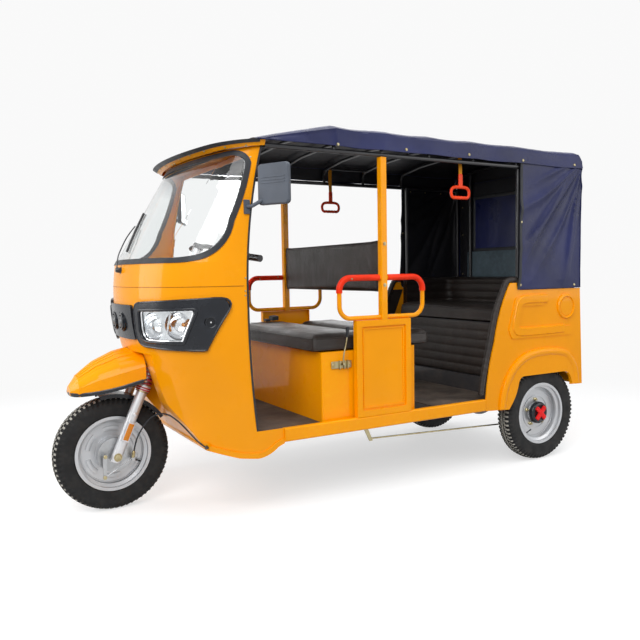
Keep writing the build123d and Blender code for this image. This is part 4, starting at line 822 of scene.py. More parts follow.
# seams over the peak bow and down its sides, beading along both shoulders, and the rolled hem
STRIP = ((-7, 0), (-6.5, 1.2), (6.5, 1.2), (7, 0))
shapes = []
for x in (ROOF_PEAK - 0.012, -0.600, -1.392):
    shapes.append(swept([roof_point(x, v, 0.0003) for v in spread(-0.995, 0.995, 90)], STRIP))
for side in (-1, 1):
    line = [roof_point(x, side * 0.838, 0.0016) for x in spread(ROOF_FRONT - 0.01, ROOF_REAR + 0.003, 90)]
    shapes.append(swept(line, oval(2.6, 2.6)))
    line = [roof_point(x, side * 0.998, 0.0004) for x in spread(ROOF_FRONT, ROOF_REAR + 0.002, 110)]
    shapes.append(swept(line, oval(2.2, 3.2)))
trims = [many("canopy_seams", shapes, "roof_cloth")]
for name, end, slot in (("front", ROOF_FRONT, "black_rubber"), ("rear", ROOF_REAR, "roof_cloth")):
    line = [roof_point(end, v, 0.0004) for v in spread(-0.998, 0.998, 120)]
    trims.append(many(f"canopy_{name}_piping", [swept(line, oval(2.6, 2.6), up=AHEAD)], slot))

# ------------------------------------------------------------------ side curtains, in a fan of folds
CURTAIN_TOP, CURTAIN_FOOT, CURTAIN_REAR = 1.676, 0.9755, -1.4065
FOLD_CORNER = (-1.425, 1.705)
FOLDS = (
    # degrees below level, width in degrees, depth in metres, reach in metres
    (17, 3.0, 0.0080, 0.42), (31, 3.6, 0.0130, 0.62), (42, 2.6, 0.0095, 0.70), (52, 3.2, 0.0150, 0.80),
    (63, 2.6, 0.0095, 0.78), (73, 3.0, 0.0120, 0.72), (83, 2.4, 0.0065, 0.60),
)


def curtain_relief(x, z, phase):
    """How far the curtain's cloth stands out of its plane."""
    dx, dz = x - FOLD_CORNER[0], FOLD_CORNER[1] - z
    reach = math.hypot(dx, dz)
    angle = math.degrees(math.atan2(dz, dx))
    out = 0.0
    for centre, width, depth, far in FOLDS:
        bend = centre + 4 * math.sin(reach * 4 + phase + centre)
        strength = math.exp(-((reach - far * 0.55) / (far * 0.5)) ** 2)
        out += 1.45 * depth * strength * math.exp(-abs((angle - bend) / width) ** 1.35)
    out += 0.0035 * noise.noise(Vector((x * 7, z * 5, phase)))
    out += 0.0012 * noise.noise(Vector((x * 26, z * 22, phase + 3)))
    edge = min(1, (CURTAIN_TOP - z) / 0.03, max(0.15, (z - CURTAIN_FOOT) / 0.05))
    return out * max(0, edge)


def curtain_point(side, u, z, lift=0.0):
    """A point of a side curtain: u runs from its front edge, which is drawn in slightly, to the rear."""
    share = (z - CURTAIN_FOOT) / (CURTAIN_TOP - CURTAIN_FOOT)
    front = -0.907 - 0.022 * share - 0.006 * math.sin(math.pi * share)
    x = front + (CURTAIN_REAR - front) * u
    return Vector((x, side * (0.5325 + curtain_relief(x, z, 1.3 if side > 0 else 4.1) + lift), z))


for label, side in SIDES:
    out = LEFT * side
    rows = [[curtain_point(side, u, z) for u in spread(0, 1, 64)] for z in spread(CURTAIN_TOP, CURTAIN_FOOT, 84)]
    curtain = lined_sheet(f"side_curtain_{label}", rows, CLOTH, "roof_cloth", "roof_lining", side,
                          lambda centre: -out)
    if side > 0:
        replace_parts(curtain, "side_curtains")
    front = [curtain_point(side, 0.012, z, 0.0012) for z in spread(CURTAIN_TOP - 0.01, CURTAIN_FOOT, 60)]
    foot = [curtain_point(side, u, CURTAIN_FOOT + 0.002, 0.001) for u in spread(0, 1, 40)]
    rear = [curtain_point(side, 0.998, z, 0.001) for z in spread(CURTAIN_TOP, CURTAIN_FOOT, 60)]
    binding = many(f"curtain_binding_{label}", [swept(front, oval(10, 2.2), up=out)], "black_rubber")
    hem = many(f"curtain_hem_{label}", [swept(foot, oval(2.8, 2.8), up=out), swept(rear, oval(3, 3), up=out)],
               "roof_cloth")


def rear_cloth_point(y, z):
    """A point of the rear curtain, which hangs in shallow upright folds."""
    fold = 0.0045 * noise.noise(Vector((y * 5.5, z * 1.6, 9))) + 0.0014 * noise.noise(Vector((y * 22, z * 18, 4)))
    hang = min(1, (1.678 - z) / 0.04, (z - 0.972) / 0.04)
    return Vector((-1.4082 - fold * max(0, hang), y, z))


rows = [[rear_cloth_point(y, z) for y in spread(-0.5285, 0.5285, 84)] for z in spread(1.677, 0.9735, 60)]
rear_cloth = lined_sheet("rear_curtain_cloth", rows, CLOTH, "roof_cloth", "roof_cloth", -1)
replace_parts(rear_cloth, "rear_curtain")

# ------------------------------------------------------------------ snaps on both sides of the roof
def studs(names, pixels, radius, height, sides):
    """Domed studs where the photograph shows them, the same on the far side."""
    hits = [hit for hit in (seen(names, px, py) for px, py in pixels) if hit]
    return [turned(dome(radius, height), place, sides) for hit in hits for place in mirrored_frames(*hit)]


CANOPY_SNAPS = ((337.9, 144.4), (406.3, 149.6), (469.2, 154.6), (523.1, 160.4), (574.5, 165.0), (521.5, 222),
                (520.5, 285), (574, 284.5))
VISOR_SNAPS = ((174.8, 163.8), (179.3, 159.2), (189.6, 155.4), (204, 151.2), (225, 147.2), (246, 145.5))
snapped = ["canopy_cloth", "roof_visor", "edge_trims", "side_curtain_left", "cab_shell"]
many("canopy_snaps", studs(snapped, CANOPY_SNAPS, radius=7.5, height=4.5, sides=18), "bright_zinc")
many("visor_snaps", studs(["roof_visor"], VISOR_SNAPS, radius=5.2, height=3.2, sides=18), "bright_zinc")

# ------------------------------------------------------------------ seats and padding
VOXEL, LONGEST_EDGE = 0.0085, 0.05
CLOTH_FRAMES, CLOTH_STIFFNESS = 20, 12
PIPING_STEP = 0.03


def pad_form(low, high, inset, corner):
    """A closed box with rounded edges, drawn in from two corners and cut into small faces."""
    low, high = low + Vector(inset), high - Vector(inset)
    form = bmesh.new()
    bmesh.ops.create_cube(form, size=1)
    bmesh.ops.scale(form, vec=high - low, verts=form.verts)
    bmesh.ops.bevel(form, geom=form.edges[:] + form.verts[:], offset=corner, segments=5,
                    affect="EDGES", profile=0.5)
    bmesh.ops.translate(form, vec=(high + low) / 2, verts=form.verts)
    for _ in range(9):
        long_edges = [e for e in form.edges if e.calc_length() > LONGEST_EDGE]
        if not long_edges:
            break
        bmesh.ops.subdivide_edges(form, edges=long_edges, cuts=1, use_grid_fill=True)
    bmesh.ops.triangulate(form, faces=form.faces)
    return form


def stuffed(name, form, pressure, cap, held):
    """A form blown up under light pressure, no further than a cap and not where held() is true."""
    mesh = bpy.data.meshes.new(name)
    form.to_mesh(mesh)
    form.free()
    piece = link(name, mesh)
    remesh = piece.modifiers.new("voxels", "REMESH")
    remesh.mode = "VOXEL"
    remesh.voxel_size = VOXEL
    shaped = baked(piece, name)
    rest = [v.co.copy() for v in shaped.vertices]
    group = piece.vertex_groups.new(name="held")
    group.add([i for i, co in enumerate(rest) if held(co)], 1, "REPLACE")
    cloth = piece.modifiers.new("cloth", "CLOTH")
    cloth.settings.use_pressure = True
    cloth.settings.uniform_pressure_force = pressure
    cloth.settings.effector_weights.gravity = 0
    cloth.settings.tension_stiffness = CLOTH_STIFFNESS
    cloth.settings.compression_stiffness = CLOTH_STIFFNESS
    cloth.settings.bending_stiffness = 0.4
    cloth.settings.vertex_group_mass = "held"
    cloth.point_cache.frame_start = 1
    cloth.point_cache.frame_end = CLOTH_FRAMES
    for step in range(1, CLOTH_FRAMES + 1):
        scene.frame_set(step)
    swollen = piece.evaluated_get(bpy.context.evaluated_depsgraph_get()).data
    for vertex, start, moved in zip(shaped.vertices, rest, [v.co.copy() for v in swollen.vertices]):
        push = moved - start
        if push.length > cap:
            push *= cap / push.length
        vertex.co = start + push
    piece.modifiers.clear()
    scene.frame_set(1)
    piece.vertex_groups.clear()
    return piece


def finish_pad(piece, node, factor, rounds):
    form = bmesh.new()
    form.from_mesh(piece.data)
    for _ in range(rounds):
        bmesh.ops.smooth_vert(form, verts=form.verts, factor=factor,
                              use_axis_x=True, use_axis_y=True, use_axis_z=True)
    form.to_mesh(piece.data)
    form.free()
    piece.data.materials.append(looks["seat_vinyl"].material)
    smooth(piece.data)
    settle(piece)
    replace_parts(piece, node)


def clamp(value, low, high):
    """A value kept between two others."""
    return min(max(value, low), high)


def ring_round(low, high, corner):
    """Pairs round a rectangle between two corners."""
    half, centre = (high - low) / 2, (high + low) / 2
    return [centre + Vector(pair) for pair in rounded_rectangle(half.x, half.y, corner, 7)]


def laid_on(name, line, lift):
    """A closed line filled with points and moved onto a piece."""
    nearest = [tree_of(name).find_nearest(guess) for guess in filled(line, PIPING_STEP)]
    return [point + normal * lift for point, normal, _, _ in nearest]


def seat_pad(name, node, crown, corner=0.026):
    """A box cushion: crowned top, sides that pull in between the corners, and piping on both seams."""
    low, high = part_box(node)
    form = pad_form(low, high, inset=(0.007, 0.007, 0), corner=corner)
    for v in form.verts:
        u = (v.co.x - low.x) / (high.x - low.x) * 2 - 1
        w = (v.co.y - low.y) / (high.y - low.y) * 2 - 1
        rise = (v.co.z - low.z) / (high.z - low.z)
        if rise > 0.5:
            v.co.z -= crown * (0.35 + 0.65 * max(u * u, w**4)) * (rise - 0.5) * 2
    piece = stuffed(name, form, pressure=3.2, cap=0.009, held=lambda co: co.z < low.z + 0.012)
    for v in piece.data.vertices:
        if (v.co.z - low.z) / (high.z - low.z) > 0.75:
            v.co.z += 0.0016 * noise.noise(Vector((v.co.x * 9, v.co.y * 7, 2)))
            v.co.z += 0.0009 * noise.noise(Vector((v.co.x * 30, v.co.y * 24, 5)))
        v.co.z = clamp(v.co.z, low.z + 0.0004, high.z + 0.004)
        v.co.x = clamp(v.co.x, low.x - 0.002, high.x + 0.002)
        v.co.y = clamp(v.co.y, low.y - 0.002, high.y + 0.002)
    finish_pad(piece, node, factor=0.5, rounds=3)
    cords = []
    for height, out in ((high.z - 0.018, 0.0012), (low.z + 0.012, 0.0010)):
        line = []
        for x, y in ring_round(low.xy, high.xy, corner + 0.006):
            spot = Vector((x, y, height))
            centre = Vector(((low.x + high.x) / 2, y if abs(y) < high.y - 0.06 else y * 0.82, height))
            direction = (spot - centre).normalized()
            hit = cast([name], centre, direction)
            line.append(hit[0] + direction * out if hit else spot)
        cords.append(swept(laid_on(name, line, out), oval(2.7, 2.7), cyclic=True))
    many(f"{name}_piping", cords, "seat_vinyl")


seat_pad("driver_seat_pad", "driver_cushion", crown=0.006)
seat_pad("bench_seat_pad", "bench_cushion", crown=0.005)
seat_pad("rear_seat_pad", "rear_cushion", crown=0.008)

# the backrest: a flat boxed pad that creases near its ends, with piped seams front and back
low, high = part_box("backrest_pad")
form = pad_form(low, high, inset=(0.005, 0, 0.004), corner=0.016)
backrest = stuffed("backrest_padding", form, pressure=2.6, cap=0.006, held=lambda co: abs(co.y) > 0.487)
for v in backrest.data.vertices:
    ends = max(0.0, (abs(v.co.y) - 0.30) / 0.19)
    middle = math.sin(math.pi * clamp((v.co.z - low.z) / (high.z - low.z), 0, 1))
    crease = 0.0042 * ends * middle * noise.noise(Vector((v.co.y * 26 + v.co.z * 16, v.co.z * 5, 3)))
    crease += 0.0007 * noise.noise(Vector((v.co.y * 60, v.co.z * 6, 8)))
    v.co.x += crease if v.co.x > (low.x + high.x) / 2 else -crease
    v.co.y = clamp(v.co.y, low.y + 0.0003, high.y - 0.0003)
finish_pad(backrest, "backrest_pad", factor=0.4, rounds=2)
cords = []
for x in (low.x + 0.009, high.x - 0.009):
    ring = ring_round(Vector((low.z + 0.003, low.y)), Vector((high.z - 0.003, high.y)), 0.02)
    line = laid_on("backrest_padding", [Vector((x, y, z)) for z, y in ring], 0.0012)
    for spot in line:
        spot.y = clamp(spot.y, low.y + 0.002, high.y - 0.002)
    cords.append(swept(line, oval(2.6, 2.6), cyclic=True, up=AHEAD))
many("backrest_piping", cords, "seat_vinyl")


def channelled(name, path, low, high, count, swell, depth, top_roll):
    """Padding with sewn level channels along a plan path of (inner point, outward direction, thickness)."""
    points = []
    for here, away, thickness in path:
        points.append(here + away * thickness + UP * low)
        for share in spread(0, 1, count * 8 + 1):
            z = low + (high - low) * share
            full = math.sin(math.pi * (share * count % 1)) ** 0.6 if 0 < share < 1 else 0.0
            roll = max(0.0, (z - (high - top_roll)) / top_roll) ** 2 * thickness * 0.45
            wobble = 0.0012 * noise.noise(Vector((here.x * 9, here.y * 9, z * 11)))
            points.append(here + UP * z - away * (swell * full - depth + wobble - roll))
        points.append(here + UP * high + away * thickness * 0.62)
        points.append(here + UP * (high - top_roll * 0.4) + away * thickness)
    shape = points, ring_faces(len(path), len(points) // len(path))
    piece = many(name, [shape], "seat_vinyl", sharp=75)
    return piece


# the rear backrest: along one side, round the corner, across the back and out again
WRAP_FRONT, WRAP_SIDE, WRAP_BACK, WRAP_CORNER = -0.921, 0.480, -1.293, 0.05
SIDE_PADDING, BACK_PADDING = 0.038, 0.094
BODY_SIDE, BODY_BACK = 0.5175, -1.3865


def wrap_half(side):
    """One side and corner of the rear backrest's plan."""
    turn_x, turn_y = WRAP_BACK + WRAP_CORNER, WRAP_SIDE - WRAP_CORNER
    half = [(Vector((x, side * WRAP_SIDE, 0)), LEFT * side, SIDE_PADDING) for x in spread(WRAP_FRONT, turn_x, 14)]
    for step in range(1, 8):
        outward, back, _ = polar(1, 90 * step / 8)
        away = Vector((-back, side * outward, 0))
        thickness = min((BODY_SIDE - turn_y) / outward, (turn_x - BODY_BACK) / back) - WRAP_CORNER
        half.append((Vector((turn_x, side * turn_y, 0)) + away * WRAP_CORNER, away, thickness))
    return half


back_ends = WRAP_SIDE - WRAP_CORNER, WRAP_CORNER - WRAP_SIDE
back = [(Vector((WRAP_BACK, y, 0)), -AHEAD, BACK_PADDING) for y in spread(*back_ends, 16)]
wrap = wrap_half(1) + back + wrap_half(-1)[::-1]
padding = channelled("rear_back_padding", wrap, low=0.7906, high=1.0398, count=5, swell=0.006, depth=0.0025,
                     top_roll=0.022)
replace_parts(padding, "rear_backrest")
riser = [(Vector((-0.838, y, 0)), -AHEAD, 0.0078) for y in spread(-0.497, 0.497, 30)]
channelled("riser_padding", riser, low=0.481, high=0.7885, count=6, swell=0.0045, depth=0.002,
           top_roll=0.006)

# black lining inside both rear side panels, behind the doorway
LINING_OUTLINE = mm((-690, 412), (-735, 640), (-772, 800), (-806, 905), (-838, 962), (-918, 962), (-846, 795),
                    (-820, 412))
for label, side in SIDES:
    points = [Vector((x, side * y, z)) for y in (0.5175, 0.5215) for x, z in LINING_OUTLINE]
    shape = points, ring_faces(2, len(LINING_OUTLINE))
    many(f"side_lining_{label}", [shape], "seat_vinyl", sharp=None)

# soft rubbers on the rear door edges
EDGE_LINE = mm(
    (-904.5, 1029.5), (-885, 1029.7), (-862, 1028), (-845, 1021.5), (-831.5, 1006), (-806, 955), (-778, 900),
    (-763.5, 860), (-740, 778), (-720.5, 700), (-700.5, 620), (-682, 548), (-669, 490), (-658.5, 434),
    (-658.5, 416.5),
)
for label, side in SIDES:
    def soft_round(share):
        """The roll's section, which ripples along it and is drawn in at its ends."""
        radius = 16.2 + 0.7 * math.sin(share * 160) + 0.9 * noise.noise(Vector((share * 60, side, 0)))
        radius *= 0.84 if share < 0.012 or share > 0.988 else 1
        return oval(radius, radius, 14)

    line = smooth_line([(x, side * 0.513, z) for x, z in EDGE_LINE], resolution=14)
    roll = many(f"door_edge_roll_{label}", [swept(line, soft_round, up=LEFT * side)], "seat_vinyl")
    if side > 0:
        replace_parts(roll, "door_edge_pads")

# ------------------------------------------------------------------ the roof's rear and what hangs inside
VALANCE_FOOT = 1.648
rows = []
for y in spread(-0.534, 0.534, 72):
    v = clamp(SHOULDER * y / (HALF_ROOF - SHOULDER_INSET), -SHOULDER, SHOULDER)
    top = roof_point(ROOF_REAR, v).z - 0.001
    row = []
    for share in spread(0, 1, 14):
        swell = 0.0025 + 0.0025 * math.sin(math.pi * share) + 0.0018 * noise.noise(Vector((y * 14, share * 2, 5)))
        row.append(Vector((ROOF_REAR - swell, y, top + (VALANCE_FOOT - top) * share)))
    rows.append(row)
valance = lined_sheet("rear_valance", rows, CLOTH, "roof_cloth", "roof_lining", 0, lambda centre: AHEAD)

INNER_X = -1.3915


def inner_panel(name, half_width, foot, top, thickness, look, bow, x):
    """A waved sheet inside the rear curtain."""
    rows = []
    for y in spread(-half_width, half_width, 26):
        row = []
        for z in spread(foot, top, 22):
            edge = clamp(min(half_width - abs(y), z - foot, top - z) / 0.03, 0, 1)
            row.append(Vector((x + bow * edge * noise.noise(Vector((y * 7, z * 4, 3))), y, z)))
        rows.append(row)
    panel = lined_sheet(name, rows, thickness, look, look, 0)


# the rear curtain's inside: black lining, a navy window flap in a black border and a stiff board at its foot
inner_panel("rear_lining", half_width=0.482, foot=0.978, top=1.672, thickness=0.0012, look="roof_lining",
            bow=0.002, x=INNER_X - 0.004)
inner_panel("window_flap", half_width=0.322, foot=1.232, top=1.560, thickness=CLOTH, look="roof_cloth",
            bow=0.004, x=INNER_X)
corners = [Vector((INNER_X + 0.0015, y, z)) for y, z in mm((-335, 1218), (-335, 1574), (335, 1574), (335, 1218))]
line = [a.lerp(b, share) for a, b in zip(corners, corners[1:] + corners[:1]) for share in spread(0.02, 0.98, 16)]
many("window_border", [swept(line, oval(13, 2.2), cyclic=True, up=AHEAD)], "black_rubber")
board = slab(frame_at((INNER_X + 0.001, 0, 1.108), AHEAD), 800, 205, 4, 10)
many("rear_board", [board], "seat_panel", "board_slate")

places = [frame_at((INNER_X - 0.0028, y, z), AHEAD) for y in (-0.455, 0.455) for z in (1.52, 1.33, 1.06)]
for x in (-1.0, -1.13, -1.27):
    for label, side in SIDES[::-1]:
        for z in (1.008, 1.620):
            places.append(frame_at(*cast([f"side_curtain_{label}"], (x, 0, z), LEFT * side)))
many("lining_snaps", [turned(dome(6, 3.5), place, 14) for place in places], "bright_zinc")

# ------------------------------------------------------------------ pressed relief on the rear body
RELIEF_Y = 0.5305
BAR_LINE = mm(
    (-1135, 921), (-1035, 921), (-972, 921), (-938, 914), (-917, 892), (-908, 850), (-892, 790), (-893, 757),
    (-916, 742), (-1020, 741), (-1150, 742), (-1275, 744),
)
BAR_SECTION = ((-23.5, -1.2), (-22.5, 5.8), (-19, 10), (19, 10), (22.5, 5.8), (23.5, -1.2))
BOSS = ((0, 7.2), (50, 6.8), (53, 3), (56, 3), (59, 10.8), (65, 10.8), (69, 5.8), (70, -0.5))
ARCH_EDGE = mm(
    (-795, 329), (-805, 415), (-841, 495), (-899, 560), (-974, 604), (-1075, 619), (-1181, 619), (-1284, 603),
    (-1324, 571), (-1358, 527), (-1377, 475), (-1382, 419),
)
ARCH_SECTION = [(23.5 * math.cos(turn), -1.2 + 18 * math.sin(turn)) for turn in spread(0, math.pi, 11)]
shapes = []
for side in (1, -1):
    out = LEFT * side
    bar, arch = ([(x, side * RELIEF_Y, z) for x, z in line] for line in (BAR_LINE, ARCH_EDGE))
    shapes.append(swept(smooth_line(bar, resolution=8), BAR_SECTION, up=out))
    shapes.append(turned(BOSS, frame_at((-1.292, side * 0.53, 0.868), out), 64))
    shapes.append(swept(smooth_line(arch, resolution=8), ARCH_SECTION, up=out))
many("body_relief", shapes, "body_paint", sharp=22)

# ------------------------------------------------------------------ grab handles
STRAP_TOP, STRAP_FOOT = 1.7165, 1.578
STRAP_SECTION = oval(10.5, 1, 10)
GRAB_RING = mm(
    # ahead of the strap, height
    (-62, 1490), (-58, 1470.5), (-45, 1461.5), (-28, 1464.5), (-18.5, 1461.2), (-9.5, 1465), (0, 1461.2),
    (9.5, 1465), (18.5, 1461.2), (28, 1464.5), (45, 1461.5), (58, 1470.5), (62, 1490), (56, 1508), (40, 1516.5),
    (20, 1518), (0, 1518), (-20, 1518), (-40, 1516.5), (-56, 1508),
)
straps, plates, rings, rivets = [], [], [], []
for x, y in ((-0.554, 0.470), (-0.327, -0.470)):
    for shift in (-0.0016, 0.0016):
        line = []
        for share in spread(0, 1, 16):
            sway, gap = 0.0012 * math.sin(share * 5), shift * (1 + 0.5 * math.sin(math.pi * share))
            line.append(Vector((x + sway, y + gap, STRAP_TOP + (STRAP_FOOT - STRAP_TOP) * share)))
        straps.append(swept(line, STRAP_SECTION, up=LEFT))
    loop = [Vector((x, y, STRAP_TOP)) + 0.0042 * Vector((0, math.cos(turn), math.sin(turn)))
            for turn in spread(0, math.pi, 9)]
    straps.append(swept(loop, STRAP_SECTION))
    plates.append(slab(frame_at((x, y, 1.5495), LEFT), 25, 74, 7.5, 8, 2))
    for z in (1.532, 1.551, 1.570):
        for out in (1, -1):
            rivets.append(turned(dome(3.6, 1.2), frame_at((x, y + out * 0.0036, z), LEFT * out), 12))
    ring = smooth_line([(x + ahead, y, z) for ahead, z in GRAB_RING], cyclic=True, resolution=4)
    rings.append(swept(ring, oval(8.5, 6.2, 12), cyclic=True, up=LEFT))
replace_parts(many("grab_rings", rings + plates, "strap_plastic"), "grab_handles")
many("grab_straps", straps, "strap_plastic", "grab_webbing")
many("grab_holes", rivets, "dark_plastic")

# ------------------------------------------------------------------ lamps
def lamp_axes(side):
    """Across and out on the headlight's plane, which is turned by 45 degrees."""
    across, out, _ = polar(1, 45)
    return Vector((across, -side * out, 0)), Vector((out, side * across, 0))


def lamp_cast(names, side, u, z):
    """What lies under a place on the lamp plane: u runs back from the lamp's inner end."""
    across, out = lamp_axes(side)
    return cast(names, out * 1.6 - across * u + UP * z, -out)


def on_lamp(names, side, u, z, lift):
    """A point at a height over what lies under a place on the lamp plane."""
    point, normal = lamp_cast(names, side, u, z)
    return point + normal * lift


def lamp_ring(names, side, corners, radii, middle, scale, lift):
    """A closed line on the lamp plane through rounded corners, scaled about its middle."""
    line = []
    for k, radius in enumerate(radii):
        before, here, after = (Vector(corners[(k + d) % len(corners)]) for d in (-1, 0, 1))
        a, b = (before - here).normalized(), (after - here).normalized()
        reach = radius / math.tan(a.angle(b) / 2)
        start, end = here + a * reach, here + b * reach
        for share in spread(0, 1, 7):
            line.append(start * (1 - share) ** 2 + here * 2 * share * (1 - share) + end * share**2)
    middle = Vector(middle)
    return [on_lamp(names, side, *(middle + (spot - middle) * scale), lift) for spot in filled(line, 0.012)]


# corners by the distance back and the height, the radii of those corners and the outline's middle
LAMP_LENS = mm((-584, 934), (-584, 803), (-358, 803), (-296, 941)), (0.016, 0.05, 0.01, 0.016), (-0.45, 0.87)
SURROUND = mm((-632, 969), (-632, 775), (-262, 764), (-146, 994)), (0.042, 0.07, 0.016, 0.042), (-0.41, 0.87)
SOCKET = ((0, 0.6), (19.5, 0.6), (19.5, 11.5), (23.5, 13.5), (24.5, 12.2), (20.5, 0.5))
SMALL_BULB = ((0, 11.5), (3.5, 10.8), (5.2, 8.5), (6, 0.8))
lips, borders, edge_lips, sockets, bulbs = [], [], [], [], []
for side in (1, -1):
    lip = lamp_ring(["cab_shell"], side, *LAMP_LENS, scale=1.045, lift=0.0125)
    lips.append(swept(lip, oval(7.5, 7.5, 10), cyclic=True))
    border = lamp_ring(["headlight_lenses"], side, *LAMP_LENS, scale=0.965, lift=0.0022)
    borders.append(swept(border, oval(3.2, 3.2), cyclic=True))
    rim = lamp_ring(["cab_shell"], side, *SURROUND, scale=0.970, lift=0.0095)
    edge_lips.append(swept(rim, oval(5, 5), cyclic=True))
    place = frame_at(*lamp_cast(["cab_shell"], side, -0.244, 0.886))
    sockets.append(turned(SOCKET, place, 32))
    bulbs.append(turned(SMALL_BULB, place, 20))
many("lamp_lips", lips + edge_lips, "dark_plastic")
many("lamp_borders", borders, "lamp_chrome")
many("bezel_sockets", sockets, "dark_plastic")
many("bezel_lamps", bulbs, "lamp_chrome")

# horn faces: concentric pressings round a grey boss
HORN = ((0, 5), (12.5, 4.6), (14.5, 0.8), (18, 0.8), (19.5, 2.8), (23.5, 2.8), (25, 0.4))
shapes = [turned(HORN, frame_at((1.1232, side * 0.062, 0.878), AHEAD), 40) for side in (-1, 1)]
many("horn_faces", shapes, "motor_casting")

# ------------------------------------------------------------------ the cab's seam, rivets and bolts
SEAM_CENTRE, SEAM_REAR = Vector((0.55, 0, 1.035)), 0.69
line = []
for degrees in spread(-86, 86, 97):
    out = polar(1, degrees)
    point = raised(["cab_shell"], SEAM_CENTRE + out * 1.4, -out, 0.0004)
    if point and point.x > SEAM_REAR:
        line.append(point)
many("cab_seam", [swept(line, oval(1.6, 0.7))], "body_paint", "seam_shadow")

CAB_RIVETS = ((245.5, 278), (245.5, 291), (245.5, 295.5), (250.5, 157.0))
riveted = ["cab_shell", "edge_trims", "roof_visor"]
many("cab_rivets", studs(riveted, CAB_RIVETS, radius=4.2, height=2.4, sides=14), "bright_zinc")

bolts = []
for px, py in ((383.5, 243.6), (384.5, 285.0)):
    point, _ = seen(["door_pillars"], px, py)
    for place in mirrored_frames((-0.026, 0.5302, point.z), LEFT):
        bolts.append(turned([(0, 1.8), (8.8, 1.8), (8.8, 0.2)], place, 20))
        bolts.append(turned(hexagon(5.8, 6.2, 1.6), place, 6))
GRIP_STUDS = ((260, 279), (278, 277), (412, 284), (352, 279))
bolts += studs(["handrail_grips"], GRIP_STUDS, radius=4.5, height=2.2, sides=12)
many("pillar_bolts", bolts, "bright_zinc")

# ------------------------------------------------------------------ wiper
WIPER_UP = Vector((1, 0, 0.4))
pivot, pivot_out = cast(["cab_shell", "windscreen_seal"], (1.6, 0.020, 1.112), -AHEAD)
knuckle = turned([(0, 24), (9, 23.5), (12.5, 19), (12.5, 4), (16, 0.5)], frame_at(pivot, pivot_out), 24)
arm_line = [pivot + pivot_out * 0.017]
for y, z, lift in mm((12, 1150, 24), (-4, 1205, 32), (-26, 1262, 30), (-46, 1310, 18)):
    arm_line.append(raised(["windscreen", "windscreen_seal", "cab_shell"], (1.8, y, z), -AHEAD, lift))
arm = swept(smooth_line(arm_line), oval(5.2, 3), up=WIPER_UP)
BLADE = mm((20, 1195), (-2, 1232), (-24, 1270), (-46, 1308), (-68, 1346), (-88, 1382))
blade_line = [raised(["windscreen"], (1.8, y, z), -AHEAD, 0.0062) for y, z in BLADE]
blade = swept(smooth_line(blade_line), oval(4, 5.8), up=WIPER_UP)
many("wiper", [knuckle, arm, blade], "black_steel")

# ------------------------------------------------------------------ parking brake, belt and buckle
BRAKE_X = 0.205
shapes = [slab(frame_at((BRAKE_X, 0.4950, 0.651), LEFT), 112, 34, 4, 4)]
for shift in (-0.030, -0.012, 0.014):
    shapes.append(slab(frame_at((BRAKE_X + shift, 0.5035, 0.651), AHEAD), 14, 42, 3.5, 3))
for shift in (-0.046, 0.046):
    shapes.append(turned(hexagon(6.5, 5), frame_at((BRAKE_X + shift, 0.4970, 0.651), LEFT), 6))
shapes.append(turned([(0, 20), (6, 19.5), (6.8, 17), (6.8, 0)], frame_at((0.203, 0.4985, 0.655), LEFT), 20))
LEVER = mm((203, 512.8, 655), (204, 512.8, 682), (199, 512.8, 712), (188, 512.8, 748), (181.5, 512.8, 786))
shapes.append(swept(smooth_line(LEVER, resolution=8), oval(3.6, 3.6, 10), up=LEFT))
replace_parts(many("parking_brake_lever", shapes, "bright_zinc"), "parking_brake")
knob = [(4.2, 0), (6.2, 4), (7, 22), (9.8, 41), (9.6, 46.5), (6.5, 50), (0, 50.8)]
many("parking_brake_knob", [turned(knob, frame_at((0.1812, 0.5128, 0.7795), (-0.06, 0, 1)), 24)], "black_rubber")


def on_seat(x, y, lift):
    """The point a little above the driver's cushion at a place in plan."""
    point, _ = cast(["driver_seat_pad"], (x, y, 1.0), -UP)
    return point + UP * lift


BELT = mm((50, -466, 1.6), (85, -440, 6), (135, -418, 2), (180, -402, 5), (222, -392, 1.8), (262, -402, 4))
belt_line = smooth_line([on_seat(*spot) for spot in BELT], resolution=8)
many("seat_belt_tail", [swept(belt_line, oval(19, 1, 10))], "seat_vinyl")
buckle = slab(frame_at(on_seat(0.100, -0.432, 0.0125), (0.08, 0.05, 1), AHEAD), 60, 40, 24, 8, 3)
tongue = slab(frame_at(on_seat(0.152, -0.414, 0.0080), (0.05, 0.05, 1), AHEAD), 34, 32, 12, 6, 2)
many("seat_belt_buckle", [buckle, tongue], "black_rubber")

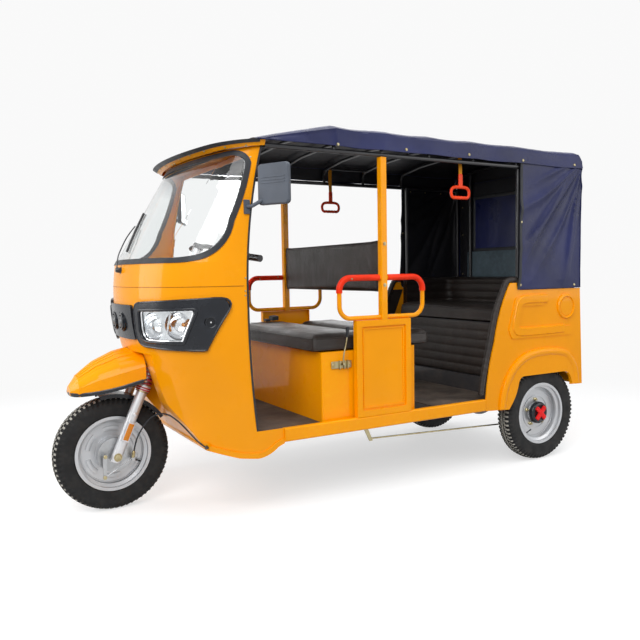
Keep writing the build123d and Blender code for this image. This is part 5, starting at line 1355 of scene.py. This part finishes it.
# ------------------------------------------------------------------ bulbs and the lamps' dividers
amber_bulbs, bulbs, dividers = [], [], []
for side in (1, -1):
    across, out = lamp_axes(side)
    for ahead, height, reach, radius, length, group in (
        (0.382, 0.872, 0.9215, 10, 30, amber_bulbs), (0.508, 0.868, 0.8895, 11, 34, bulbs),
    ):
        bulb = [(radius, -2), (radius, length * 0.6), (radius * 0.75, length * 0.85), (0, length)]
        group.append(turned(bulb, frame_at(across * ahead + out * reach + UP * height, out), 20))
    line = [on_lamp(["headlight_lenses"], side, -0.412 - 0.034 * share, 0.932 - 0.119 * share, -0.0078)
            for share in spread(0, 1, 14)]
    dividers.append(swept(line, oval(4.5, 2.2), up=out))
many("signal_bulbs", amber_bulbs, "tail_glass", "amber_lens")
many("head_bulbs", bulbs, "lamp_chrome")
many("lamp_dividers", dividers, "silver_paint")

# ------------------------------------------------------------------ the mudguard's lip and flutes
HOOD_EDGE = mm(
    (1052, 159.8, 609), (1100, 152.2, 596.5), (1150, 143.5, 583.5), (1200, 129.1, 573.5), (1250, 113.5, 565.5),
    (1300, 93.5, 560.5), (1330, 71.7, 558.5), (1344.5, 51.1, 559), (1350, 23.5, 559),
)
lip = [*HOOD_EDGE, *[(x, -y, z) for x, y, z in reversed(HOOD_EDGE)]]
many("mudguard_lip", [swept(smooth_line(lip), oval(3.5, 9, 10))], "dark_plastic")

FLUTE_REAR, FLUTE_FRONT = 1.075, 1.318
shapes = []
for share in (-0.74, -0.44, -0.15, 0.15, 0.44, 0.74):
    line = []
    for x in spread(FLUTE_REAR, FLUTE_FRONT, 24):
        half = 0.118 - 0.062 * ((x - FLUTE_REAR) / (FLUTE_FRONT - FLUTE_REAR)) ** 1.5
        point = raised(["front_mudguard"], (x, share * half, 1.0), -UP, 0.0004)
        if point:
            line.append(point)
    shapes.append(swept(line, lambda along: oval(4.2 * math.sin(math.pi * clamp(along, 0.05, 1)) ** 0.4, 2.6, 10)))
many("mudguard_flutes", shapes, "body_paint")
